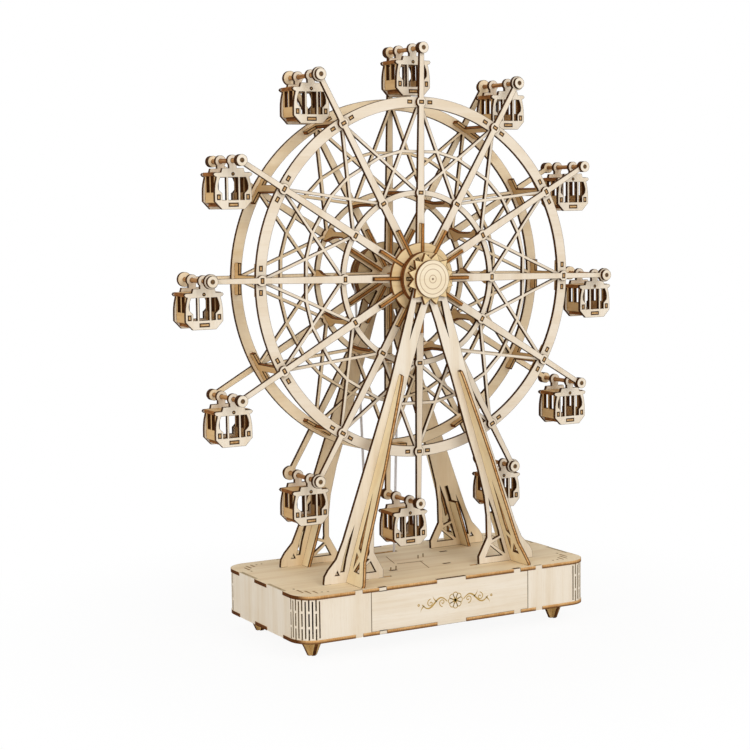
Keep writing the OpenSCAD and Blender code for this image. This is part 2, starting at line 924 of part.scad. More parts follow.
module cabin_end_outline() {
  difference() {
    union() {
      circle(r = eye_r);
      mirrored_x() {
        span(0, -cabin_h * cabin_edge_shares[0][1] - sheet_t * half,
          cabin_half_w * cabin_neck_share, -eye_r * half);
        polygon(concat([[0, -cabin_h * cabin_edge_shares[0][1]]],
          scaled(cabin_edge_shares, cabin_half_w, -cabin_h), [[0, -cabin_h]]));
      }
    }
    circle(r = rod_r + run_fit);
    translate([0, -cabin_h * cabin_roof_share]) circle(r = rod_r * (1 - cabin_peg_share));
    span(-cabin_half_w * cabin_middle_share, -cabin_h * cabin_window_low_share,
      cabin_half_w * cabin_middle_share, -cabin_h * cabin_window_top_share);
    span(-cabin_half_w * cabin_floor_tab_share, -cabin_h * cabin_wall_low_share - sheet_t,
      cabin_half_w * cabin_floor_tab_share, -cabin_h * cabin_wall_low_share);
    mirrored_x() {
      polygon(scaled(cabin_window_shares, cabin_half_w, -cabin_h));
      span(cabin_half_w * cabin_wall_share - sheet_t * half, -cabin_h * cabin_tenon_low_share,
        cabin_half_w * cabin_wall_share + sheet_t * half, -cabin_h * cabin_tenon_top_share);
    }
  }
}

// side wall of a cabin drawn over y and z
module cabin_side_outline() {
  roof = -cabin_h * cabin_roof_share - sheet_t * half;
  difference() {
    union() {
      span(-cabin_y, -cabin_h * cabin_wall_low_share, cabin_y, roof);
      span(-cabin_y - sheet_t, -cabin_h * cabin_tenon_low_share,
        cabin_y + sheet_t, -cabin_h * cabin_tenon_top_share);
    }
    mirrored_x()
      translate([cabin_y * cabin_slot_x_share, 0])
        span(-cabin_y * cabin_slot_w_share * half, -cabin_h * cabin_slot_low_share,
          cabin_y * cabin_slot_w_share * half, roof + sheet_t);
  }
}

module cabin_end_plates(k) {
  color(wood) at_rod(k) both_sides(cabin_y) cabin_end_outline();
}

module cabin_box(k) {
  w = cabin_half_w;
  color(wood) at_rod(k) {
    for (s = [-1, 1])
      translate([s * w * cabin_wall_share, 0, 0]) lengthwise() cabin_side_outline();
    translate([0, 0, -cabin_h * cabin_wall_low_share - sheet_t])
      linear_extrude(sheet_t) {
        span(-w * cabin_floor_share, -cabin_y, w * cabin_floor_share, cabin_y);
        span(-w * cabin_floor_tab_share, -cabin_y - sheet_t,
          w * cabin_floor_tab_share, cabin_y + sheet_t);
      }
    translate([0, 0, -cabin_h * cabin_roof_share]) {
      translate([0, 0, -sheet_t * half])
        linear_extrude(sheet_t)
          span(-w * cabin_roof_w_share, -cabin_y, w * cabin_roof_w_share, cabin_y);
      along_y(rod_r * (1 - cabin_peg_share), -cabin_y - sheet_t, cabin_y + sheet_t);
    }
  }
}

base_bottom_plate();
base_top_plate();
left_wall_wrap();
right_wall_wrap();
front_centre_panel();
rear_centre_panel();
base_feet();
inner_bearing_board();
base_cross_ribs();
front_tower();
rear_tower();
front_tower_ribs();
rear_tower_ribs();
main_axle();
front_hub_cap();
toothed_ring();
hub_plates();
hub_discs();
hub_fins();
front_spokes();
rear_spokes();
front_rim_lattice();
rear_rim_lattice();
rim_connectors();
inner_connectors();
wheel_pulley();
cabin_rods();
rod_washers();
drive_belt();
crank_shaft();
crank_collars();
crank_pulley();
crank_arm();
crank_pin();
crank_knob();
cabin_end_plates(1);  // cabin_01_end_plates
cabin_box(1);  // cabin_01_box
cabin_end_plates(2);  // cabin_02_end_plates
cabin_box(2);  // cabin_02_box
cabin_end_plates(3);  // cabin_03_end_plates
cabin_box(3);  // cabin_03_box
cabin_end_plates(4);  // cabin_04_end_plates
cabin_box(4);  // cabin_04_box
cabin_end_plates(5);  // cabin_05_end_plates
cabin_box(5);  // cabin_05_box
cabin_end_plates(6);  // cabin_06_end_plates
cabin_box(6);  // cabin_06_box
cabin_end_plates(7);  // cabin_07_end_plates
cabin_box(7);  // cabin_07_box
cabin_end_plates(8);  // cabin_08_end_plates
cabin_box(8);  // cabin_08_box
cabin_end_plates(9);  // cabin_09_end_plates
cabin_box(9);  // cabin_09_box
cabin_end_plates(10);  // cabin_10_end_plates
cabin_box(10);  // cabin_10_box
cabin_end_plates(11);  // cabin_11_end_plates
cabin_box(11);  // cabin_11_box
cabin_end_plates(12);  // cabin_12_end_plates
cabin_box(12);  // cabin_12_box
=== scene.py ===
"""Dresses the crank ferris wheel toy: pale laser-cut plywood with scorched edges, dowels and a cord belt.

Every length is in metres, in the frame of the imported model: +Z up, front towards -Y.
"""

import logging
import math
from dataclasses import dataclass, field
from enum import Enum
from typing import Any, Callable, Iterable, Mapping, Optional, Sequence, Union

import bpy
import numpy as np
from mathutils import Matrix, Vector


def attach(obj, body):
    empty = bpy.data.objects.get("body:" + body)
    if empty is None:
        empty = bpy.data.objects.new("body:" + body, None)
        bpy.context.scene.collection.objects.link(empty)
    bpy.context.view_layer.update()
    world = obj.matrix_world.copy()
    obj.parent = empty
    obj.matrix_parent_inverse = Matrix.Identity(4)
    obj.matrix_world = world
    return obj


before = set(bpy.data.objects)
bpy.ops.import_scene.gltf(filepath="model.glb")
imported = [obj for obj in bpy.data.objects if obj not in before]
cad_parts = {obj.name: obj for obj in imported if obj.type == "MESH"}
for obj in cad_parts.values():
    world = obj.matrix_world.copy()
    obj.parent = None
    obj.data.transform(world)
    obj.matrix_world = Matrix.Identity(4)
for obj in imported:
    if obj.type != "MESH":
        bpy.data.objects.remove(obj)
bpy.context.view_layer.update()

log = logging.getLogger("ferris_wheel")
Colour = tuple[float, float, float]
MM = 0.001

# Driving sizes of the toy
SHEET = 2 * MM
MID_Y = -10.5 * MM
HUB_Z = 205 * MM
SPOKES = 12
SPOKE_STEP = 2 * math.pi / SPOKES
TURN = math.radians(1.15)
LEAN = math.atan(0.3123)
FAR = 1.0  # beyond every piece
BASE_HALF_WIDTH, BASE_HALF_DEPTH, BASE_CORNER = 96 * MM, 50 * MM, 13 * MM
FOOT_HEIGHT, BASE_ROOM, WALL_IN = 10.4 * MM, 22.4 * MM, 0.3 * MM

# The stack of sheets from the rim outwards, as distances from the middle
FIN_REACH, TURNING_GAP, CRANK_GAP = 1.1 * MM, 0.3 * MM, 1 * MM
RIM_Y = 15 * MM
PLATE_Y = RIM_Y + 4 * SHEET + FIN_REACH
TOWER_Y = PLATE_Y + SHEET + TURNING_GAP
RING_Y = TOWER_Y + SHEET + TURNING_GAP


def linear(red: int, green: int, blue: int) -> Colour:
    """Returns the scene-linear colour of a screen colour given as 0 to 255."""
    screen = np.array([red, green, blue]) / 255.0
    low, high = screen / 12.92, ((screen + 0.055) / 1.055) ** 2.4
    r, g, b = np.where(screen <= 0.04045, low, high)
    return float(r), float(g), float(b)


# Shader maths


class Value:
    """One socket of a material's tree, so that shader maths reads as an expression."""

    def __init__(self, tree: "Tree", socket: bpy.types.NodeSocket) -> None:
        """Wraps the socket of a tree."""
        self.tree = tree
        self.socket = socket

    def _with(self, operation: str, *others: "Number") -> "Value":
        """Returns this value and the others through one Math node."""
        return self.tree.math(operation, self, *others)

    def __add__(self, other: "Number") -> "Value":
        """Returns self + other."""
        return self._with("ADD", other)

    __radd__ = __add__

    def __sub__(self, other: "Number") -> "Value":
        """Returns self - other."""
        return self._with("SUBTRACT", other)

    def __rsub__(self, other: "Number") -> "Value":
        """Returns other - self."""
        return self.tree.math("SUBTRACT", other, self)

    def __mul__(self, other: "Number") -> "Value":
        """Returns self * other."""
        return self._with("MULTIPLY", other)

    def __truediv__(self, other: "Number") -> "Value":
        """Returns self / other."""
        return self._with("DIVIDE", other)

    def __pow__(self, other: "Number") -> "Value":
        """Returns self to the power of other."""
        return self._with("POWER", other)

    def __abs__(self) -> "Value":
        """Returns the size of self without its sign."""
        return self._with("ABSOLUTE")

    def fraction(self) -> "Value":
        """Returns what is left of self over its whole part."""
        return self._with("FRACT")

    def ease(self, low: float, high: float) -> "Value":
        """Returns 0 below low, 1 above high and a smooth rise between."""
        node = self.tree.node(
            "ShaderNodeMapRange",
            {"interpolation_type": "SMOOTHSTEP", "clamp": True},
            {0: self, 1: low, 2: high, 3: 0.0, 4: 1.0},
        )
        return Value(self.tree, node.outputs[0])


Number = Union[float, int, Value]
Link = Union[Number, Colour, Sequence[float], bpy.types.NodeSocket]


class Tree:
    """The node tree of one new material, or of the world."""

    def __init__(self, name: str, world: bool = False) -> None:
        """Starts an empty material, or world, of this name."""
        self.owner = (bpy.data.worlds if world else bpy.data.materials).new(name)
        self.owner.use_nodes = True
        self.nodes = self.owner.node_tree.nodes
        self.nodes.clear()
        self.output = self.node("ShaderNodeOutputWorld" if world else "ShaderNodeOutputMaterial")

    def node(
        self,
        kind: str,
        settings: Optional[Mapping[str, Any]] = None,
        sockets: Optional[Mapping[Union[int, str], Link]] = None,
    ) -> bpy.types.Node:
        """Adds a node.

        Args:
            kind: the node's type.
            settings: its own settings, set first.
            sockets: the value or link of each input, by number or name.

        Returns:
            The new node.
        """
        made = self.nodes.new(kind)
        for name, setting in (settings or {}).items():
            setattr(made, name, setting)
        for key, value in (sockets or {}).items():
            target = made.inputs[key]
            if isinstance(value, Value):
                value = value.socket
            if isinstance(value, bpy.types.NodeSocket):
                self.owner.node_tree.links.new(value, target)
            elif target.type == "RGBA" and len(value) == 3:
                target.default_value = (*value, 1.0)
            else:
                target.default_value = value
        return made

    def math(self, operation: str, *terms: Number) -> Value:
        """Returns the terms through one Math node."""
        node = self.node("ShaderNodeMath", {"operation": operation}, dict(enumerate(terms)))
        return Value(self, node.outputs[0])

    def mix(self, share: Link, first: Link, second: Link) -> Value:
        """Returns first and second mixed as colours by a share of 0 to 1."""
        node = self.node(
            "ShaderNodeMix",
            {"data_type": "RGBA", "blend_type": "MIX", "clamp_factor": True},
            {0: share, 6: first, 7: second},
        )
        return Value(self, node.outputs[2])

    def place(self) -> Value:
        """Returns the place on the piece, in its own coordinates."""
        return Value(self, self.node("ShaderNodeTexCoord").outputs["Object"])

    def front_facing_light_share(self) -> Value:
        """Returns 1 where the surface faces the piece's own front or rear, and 0 on its sides, top and
        bottom: the share of the painted front light on cut sides.
        """
        _, y, _ = self.parts(Value(self, self.node("ShaderNodeTexCoord").outputs["Normal"]))
        return abs(y).ease(0.45, 0.9)

    def plainly_seen(self) -> Value:
        """Returns 1 for what is seen directly, in a mirror or through glass, and 0 for what only lights."""
        rays = self.node("ShaderNodeLightPath").outputs
        direct = self.math("MAXIMUM", Value(self, rays["Is Camera Ray"]), Value(self, rays["Is Glossy Ray"]))
        return self.math("MAXIMUM", direct, Value(self, rays["Is Transmission Ray"]))

    def stretched(self, vector: Value, by: Sequence[float], shift: Sequence[float] = (0, 0, 0)) -> Value:
        """Returns a vector shifted and then scaled along each axis."""
        moved = self.node("ShaderNodeVectorMath", {"operation": "ADD"}, {0: vector, 1: shift})
        sized = self.node("ShaderNodeVectorMath", {"operation": "MULTIPLY"}, {0: moved.outputs[0], 1: by})
        return Value(self, sized.outputs[0])

    def parts(self, vector: Value) -> tuple[Value, Value, Value]:
        """Returns the three coordinates of a vector."""
        node = self.node("ShaderNodeSeparateXYZ", None, {0: vector})
        return tuple(Value(self, node.outputs[i]) for i in range(3))

    def noise(self, vector: Value, detail: float = 3.0, roughness: float = 0.55, scale: float = 1.0) -> Value:
        """Returns soft noise of about 0.3 to 0.7 over a vector."""
        sockets = {"Vector": vector, "Scale": scale, "Detail": detail, "Roughness": roughness}
        return Value(self, self.node("ShaderNodeTexNoise", None, sockets).outputs[0])

    def bump(self, height: Value, strength: float, depth: float) -> Value:
        """Returns the normal of a surface raised by a height of 0 to 1."""
        node = self.node("ShaderNodeBump", None, {"Strength": strength, "Distance": depth, "Height": height})
        return Value(self, node.outputs[0])

    def close(self, shader: bpy.types.Node) -> Union[bpy.types.Material, bpy.types.World]:
        """Returns the tree's owner with this shader as its surface."""
        self.owner.node_tree.links.new(shader.outputs[0], self.output.inputs[0])
        return self.owner

    def shade(self, **sockets: Link) -> bpy.types.Material:
        """Closes the tree with one Principled shader; underscores stand for spaces in its inputs."""
        named = {name.replace("_", " "): value for name, value in sockets.items()}
        return self.close(self.node("ShaderNodeBsdfPrincipled", None, named))


# Finishes


class Grain(Enum):
    """The way the grain of the face veneer runs, as the stretch of its noise along x, y and z."""

    ALONG_X = (1.0, 24.0, 24.0)
    ALONG_Y = (24.0, 1.0, 24.0)
    ALONG_Z = (24.0, 24.0, 1.0)


PALE, WARM = linear(234, 224, 208), linear(216, 197, 167)
# Warmer, yellower copies of the pale wood for the rear sheets: painted warm bounce light from the wood around
# them.
REAR_BOUNCE_PALE, REAR_BOUNCE_WARM = linear(244, 225, 193), linear(228, 200, 154)


@dataclass(frozen=True)
class Veneer:
    """The pale basswood face of a sheet: soft bands, fine streaks and short flecks."""

    name: str
    grain: Grain = Grain.ALONG_X
    pale: Colour = PALE
    warm: Colour = WARM
    fleck: Colour = linear(196, 170, 132)
    shift: float = 0.0
    rings: tuple[float, ...] = ()

    def make(self) -> bpy.types.Material:
        """Returns the material: bands of 5 to 20 mm and streaks of 1 mm mix two woods, flecks darken them."""
        tree = Tree(self.name)
        place = tree.place()
        along = np.array(self.grain.value)
        bands = tree.noise(tree.stretched(place, along * 6.0, (self.shift,) * 3), 2.0, 0.5)
        streaks = tree.noise(tree.stretched(place, along * 40.0, (self.shift,) * 3), 4.0, 0.6)
        flecks = tree.noise(tree.stretched(place, along * 190.0), 1.0, 0.4)
        blotch = tree.noise(place, 2.0, 0.5, 38.0)
        warmth = bands.ease(0.38, 0.72) * 0.42 + streaks.ease(0.42, 0.7) * 0.2 + blotch.ease(0.45, 0.7) * 0.16
        wood = tree.mix(warmth, self.pale, self.warm)
        wood = tree.mix(flecks.ease(0.63, 0.78) * 0.22, wood, self.fleck)
        if self.rings:
            x, _, z = tree.parts(place)
            radius = ((x ** 2.0) + ((z - HUB_Z) ** 2.0)) ** 0.5
            for ring in self.rings:
                line = 1.0 - abs(radius - ring * MM).ease(0.14 * MM, 0.34 * MM)
                wood = tree.mix(line * 0.6, wood, linear(146, 104, 60))
            dot = 1.0 - radius.ease(0.5 * MM, 0.8 * MM)
            wood = tree.mix(dot * 0.85, wood, linear(96, 62, 34))
        return tree.shade(
            Base_Color=wood,
            Roughness=0.56 + streaks * 0.18,
            Normal=tree.bump(streaks * 0.6 + flecks * 0.4, 0.15, 0.1 * MM),
            Specular_IOR_Level=0.28,
        )


@dataclass(frozen=True)
class Ply:
    """Where the layers of a sheet lie: the direction through it, and how far along it the first face is.

    The distance is across . (|x|, |y - middle|, z), so that one rule serves mirrored pairs of sheets. On
    sheets that belong to one spoke each, x is taken round the hub from the nearest spoke and z along it, away
    from the hub.
    """

    across: tuple[float, float, float]
    start: float
    on_spoke: bool = False
    one_sided: bool = False

    def border(self, tree: Tree, place: Value) -> Value:
        """Returns 0 in the middle of each layer and 0.5 at its faces; one-sided, 0.5 at its first face."""
        x, y, z = tree.parts(place)
        if self.on_spoke:
            z = z - HUB_Z
            number = tree.math("ROUND", (tree.math("ARCTAN2", x, z) - TURN) / SPOKE_STEP)
            angle = number * SPOKE_STEP + TURN
            sine, cosine = tree.math("SINE", angle), tree.math("COSINE", angle)
            x, z = x * cosine - z * sine, x * sine + z * cosine
        a, b, c = self.across
        depth = abs(x) * a + abs(y - MID_Y) * b + z * c
        share = ((depth - self.start) / SHEET).fraction()
        return 0.5 - share if self.one_sided else abs(share - 0.5)

    def stretch(self) -> np.ndarray:
        """Returns the stretch of the cut marks, which are long through the sheet."""
        through = np.zeros(3) if self.on_spoke else np.abs(self.across)
        return 1500.0 - 1340.0 * through


ACROSS_Y = (0.0, 1.0, 0.0)


@dataclass(frozen=True)
class Burn:
    """The lighter and the darker brown of a cut side."""

    light: Colour
    dark: Colour


# Cut-side browns: the sideways pair is burn darkened further as painted shade, the front pair is burn
# lightened to gold as a painted highlight.
SIDE_BURN_AND_SHADE = Burn(linear(92, 54, 20), linear(48, 25, 5))
FRONT_BURN_AND_HIGHLIGHT = Burn(linear(206, 158, 98), linear(150, 98, 50))


@dataclass(frozen=True)
class CutEdge:
    """The laser-cut side of a sheet: burnt brown with smoke, darker where it faces sideways, up or down
    (painted shade) and golden where it faces the front or rear (painted highlight of the front light).

    Both faces leave a black-brown line along it, and fine cut marks run through the sheet.
    """

    name: str
    # side: browns of sideways cut sides, partly painted shade; front: golden browns of front- and rear-facing
    # cut sides, partly painted highlight.
    side: Burn = SIDE_BURN_AND_SHADE
    front: Burn = FRONT_BURN_AND_HIGHLIGHT
    char_and_slot_shade: Colour = linear(44, 22, 4)
    burn: float = 0.5
    ply: Optional[Ply] = None
    rise: tuple[float, float] = (0.2, 0.42)

    def make(self) -> bpy.types.Material:
        """Returns the material: noise stretched through the sheet gives marks, a fraction gives layers."""
        tree = Tree(self.name)
        place = tree.place()
        stretch = (self.ply or Ply(ACROSS_Y, 0.0)).stretch()
        marks = tree.noise(tree.stretched(place, stretch), 2.0, 0.5)
        patches = tree.noise(place, 3.0, 0.6, 130.0)
        burn = (patches.ease(0.3, 0.7) * 0.55 + marks.ease(0.35, 0.65) * 0.45) * (2.0 * self.burn)
        side = tree.mix(burn, self.side.light, self.side.dark)
        front = tree.mix(burn, self.front.light, self.front.dark)
        # Painted light: cut sides facing the front or rear take the golden browns as a painted highlight, the
        # others the darker browns as painted shade.
        brown = tree.mix(tree.front_facing_light_share(), side, front)
        if self.ply:
            border = self.ply.border(tree, place)
            brown = tree.mix(border.ease(*self.rise) * 0.92, brown, self.char_and_slot_shade)
        return tree.shade(
            Base_Color=brown,
            Roughness=0.62 + marks * 0.25,
            Normal=tree.bump(marks, 0.35, 0.1 * MM),
            Specular_IOR_Level=0.06,
        )


@dataclass(frozen=True)
class Scorch:
    """The thin burnt line that the beam leaves on a face: dark at the cut, fading into the wood."""

    name: str
    burnt: Colour = linear(48, 24, 4)
    wood: Optional[Colour] = None
    depth: float = 0.8

    def make(self) -> bpy.types.Material:
        """Returns the material.

        The attribute "depth" runs from 0 at the cut to 1 inside. Where no wood is given, the attribute
        "wood" is its colour.
        """
        tree = Tree(self.name)
        depth = Value(tree, tree.node("ShaderNodeAttribute", {"attribute_name": "depth"}).outputs["Fac"])
        wood = self.wood or tree.node("ShaderNodeAttribute", {"attribute_name": "wood"}).outputs["Color"]
        patches = tree.noise(tree.place(), 2.0, 0.5, 300.0)
        fade = (depth ** self.depth) * (0.85 + patches * 0.3)
        return tree.shade(
            Base_Color=tree.mix(fade.ease(0.0, 1.0), self.burnt, wood),
            Roughness=0.7,
            Specular_IOR_Level=0.06,
        )


@dataclass(frozen=True)
class TenonEnd:
    """The end of a tenon in its slot: golden end grain, near-black beyond a distance from the hub as painted
    shade of the dark slot there.
    """

    name: str
    pale: Colour = linear(216, 180, 130)
    warm: Colour = linear(170, 124, 74)
    # Near-black painted shade for the dark slot, used beyond the given distance from the hub; on cut edges
    # the same field is their real char line.
    char_and_slot_shade: Colour = linear(40, 20, 6)
    slot_shade_from: float = FAR

    def make(self) -> bpy.types.Material:
        """Returns the material: fine grain, mixed with the near-black painted shade by the radius sqrt(x^2 +
        (z - hub)^2).
        """
        tree = Tree(self.name)
        place = tree.place()
        grain = tree.noise(place, 3.0, 0.6, 900.0)
        wood = tree.mix(grain.ease(0.35, 0.65), self.pale, self.warm)
        x, _, z = tree.parts(place)
        radius = ((x ** 2.0) + ((z - HUB_Z) ** 2.0)) ** 0.5
        # Painted shade: the tenon's end goes near-black beyond the given radius, standing for the dark open
        # slot.
        slot_shade = radius.ease(self.slot_shade_from, self.slot_shade_from + 0.5 * MM)
        return tree.shade(
            Base_Color=tree.mix(slot_shade, wood, self.char_and_slot_shade),
            Roughness=0.65 + grain * 0.2,
            Specular_IOR_Level=0.08,
        )


@dataclass(frozen=True)
class Dowel:
    """A raw round dowel, with its grain along Y, or its end grain; the darker ends of rods and shafts are end
    grain with painted shade.
    """

    name: str
    pale: Colour = linear(190, 144, 92)
    warm: Colour = linear(134, 86, 44)
    end: bool = False

    def make(self) -> bpy.types.Material:
        """Returns the material: streaks along the dowel, or fine pores on its ends."""
        tree = Tree(self.name)
        place = tree.place()
        by = (900.0, 900.0, 900.0) if self.end else (900.0, 60.0, 900.0)
        streaks = tree.noise(tree.stretched(place, by), 3.0, 0.6)
        return tree.shade(
            Base_Color=tree.mix(streaks.ease(0.35, 0.68), self.pale, self.warm),
            Roughness=0.6 + streaks * 0.2,
            Normal=tree.bump(streaks, 0.3, 0.1 * MM),
            Specular_IOR_Level=0.25,
        )


# Rod and shaft ends: darker end grain, darkened further as painted shade of the ends sunk in their holes.
DOWEL_END_GRAIN_AND_SHADE = Dowel("dowel_end_grain_and_shade", linear(112, 84, 50), linear(70, 46, 22), end=True)


@dataclass(frozen=True)
class ClearCord:
    """The clear elastic cord of the belt."""

    name: str
    tint: Colour = linear(240, 238, 240)

    def make(self) -> bpy.types.Material:
        """Returns a milky, slightly see-through plastic."""
        tree = Tree(self.name)
        haze = tree.noise(tree.place(), 2.0, 0.5, 400.0)
        return tree.shade(
            Base_Color=tree.mix(haze, self.tint, linear(222, 220, 224)),
            Roughness=0.25,
            IOR=1.45,
            Transmission_Weight=0.3,
        )


class Finishes:
    """Makes each finish once and hands the material out again."""

    def __init__(self) -> None:
        """Starts with no material made."""
        self._made: dict[str, bpy.types.Material] = {}

    def __call__(self, finish: Any) -> bpy.types.Material:
        """Returns the material of a finish."""
        if finish.name not in self._made:
            self._made[finish.name] = finish.make()
        return self._made[finish.name]


# Faces and cut edges of the sheets


@dataclass
class Faces:
    """The triangles of one node as whole arrays."""

    corners: np.ndarray
    normals: np.ndarray
    centres: np.ndarray

    @classmethod
    def of(cls, node: str) -> "Faces":
        """Reads the triangles of a node.

        Args:
            node: the node's name.

        Returns:
            Its corners (n, 3, 3), unit normals (n, 3) and centres (n, 3).
        """
        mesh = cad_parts[node].data
        points = np.zeros(len(mesh.vertices) * 3, np.float32)
        mesh.vertices.foreach_get("co", points)
        loops = np.zeros(len(mesh.loops), np.int32)
        mesh.loops.foreach_get("vertex_index", loops)
        corners = points.reshape(-1, 3).astype(float)[loops.reshape(-1, 3)]
        normals = np.cross(corners[:, 1] - corners[:, 0], corners[:, 2] - corners[:, 0])
        normals /= np.maximum(np.linalg.norm(normals, axis=1, keepdims=True), 1e-15)
        return cls(corners, normals, corners.mean(axis=1))

    def nearest_spoke(self) -> np.ndarray:
        """Returns, per triangle, the angle of the nearest spoke from +Z towards +X."""
        angle = np.arctan2(self.centres[:, 0], self.centres[:, 2] - HUB_Z)
        return np.round((angle - TURN) / SPOKE_STEP) * SPOKE_STEP + TURN


def upright(faces: Faces) -> np.ndarray:
    """Tells the faces of sheets that stand across Y."""
    return np.abs(faces.normals[:, 1]) > 0.9


def outermost(faces: Faces) -> np.ndarray:
    """Tells the faces that lie furthest to the front and to the rear: the ends of tenons."""
    away = np.abs(faces.centres[:, 1] - MID_Y)
    return upright(faces) & (away > away.max() - 0.05 * MM)


def flat(faces: Faces) -> np.ndarray:
    """Tells the faces of sheets that lie flat."""
    return np.abs(faces.normals[:, 2]) > 0.9


def radial_fin(faces: Faces) -> np.ndarray:
    """Tells the faces of fins, whose normal runs round the hub."""
    angle = faces.nearest_spoke()
    round_hub = np.stack([np.cos(angle), np.zeros_like(angle), -np.sin(angle)], axis=1)
    return np.abs((faces.normals * round_hub).sum(axis=1)) > 0.9


def tie(faces: Faces) -> np.ndarray:
    """Tells the faces of cross ties, whose normal points away from the hub."""
    angle = faces.nearest_spoke()
    outward = np.stack([np.sin(angle), np.zeros_like(angle), np.cos(angle)], axis=1)
    return np.abs((faces.normals * outward).sum(axis=1)) > 0.9


def leaning(faces: Faces) -> np.ndarray:
    """Tells the faces of the leaning side ribs."""
    side = np.sign(faces.centres[:, 0])
    rib = np.stack([np.full_like(side, math.cos(LEAN)), np.zeros_like(side), side * math.sin(LEAN)], axis=1)
    return np.abs((faces.normals * rib).sum(axis=1)) > 0.95


def crossed(faces: Faces) -> np.ndarray:
    """Tells the faces of the foot blades, which stand across X or Y."""
    return np.abs(faces.normals[:, :2]).max(axis=1) > 0.99


def bent_wall(faces: Faces) -> np.ndarray:
    """Tells the faces of the walls, whose normal follows the rounded outline of the base."""
    corner = np.array([BASE_HALF_WIDTH, BASE_HALF_DEPTH]) - BASE_CORNER
    plan = faces.centres[:, :2] - np.array([0.0, MID_Y])
    away = np.sign(plan) * np.maximum(np.abs(plan) - corner, 0.0)
    away /= np.maximum(np.linalg.norm(away, axis=1, keepdims=True), 1e-9)
    return np.abs((faces.normals[:, :2] * away).sum(axis=1)) > 0.93


def cabin_box(faces: Faces) -> np.ndarray:
    """Tells the faces of a cabin's walls, floor and roof by the heights at which they lie."""
    height = faces.corners[:, :, 2]
    low, high = height.min(), height.max()
    middle = faces.centres[:, 2]
    up, side = faces.normals[:, 2], np.abs(faces.normals[:, 0])
    slack = 0.05 * MM

    def at(level: float, sign: float) -> np.ndarray:
        """Tells the triangles that lie at a level and look up or down."""
        return (np.abs(middle - level) < slack) & (up * sign > 0.9)

    plates = at(low, -1) | at(low + SHEET, 1) | at(high - SHEET, -1) | at(high, 1)
    walls = (side > 0.9) & (middle > low + SHEET) & (middle < high - SHEET)
    return plates | walls


def round_side(faces: Faces) -> np.ndarray:
    """Tells the round sides of dowels that lie along Y."""
    return np.abs(faces.normals[:, 1]) < 0.5


Rule = Callable[[Faces], np.ndarray]


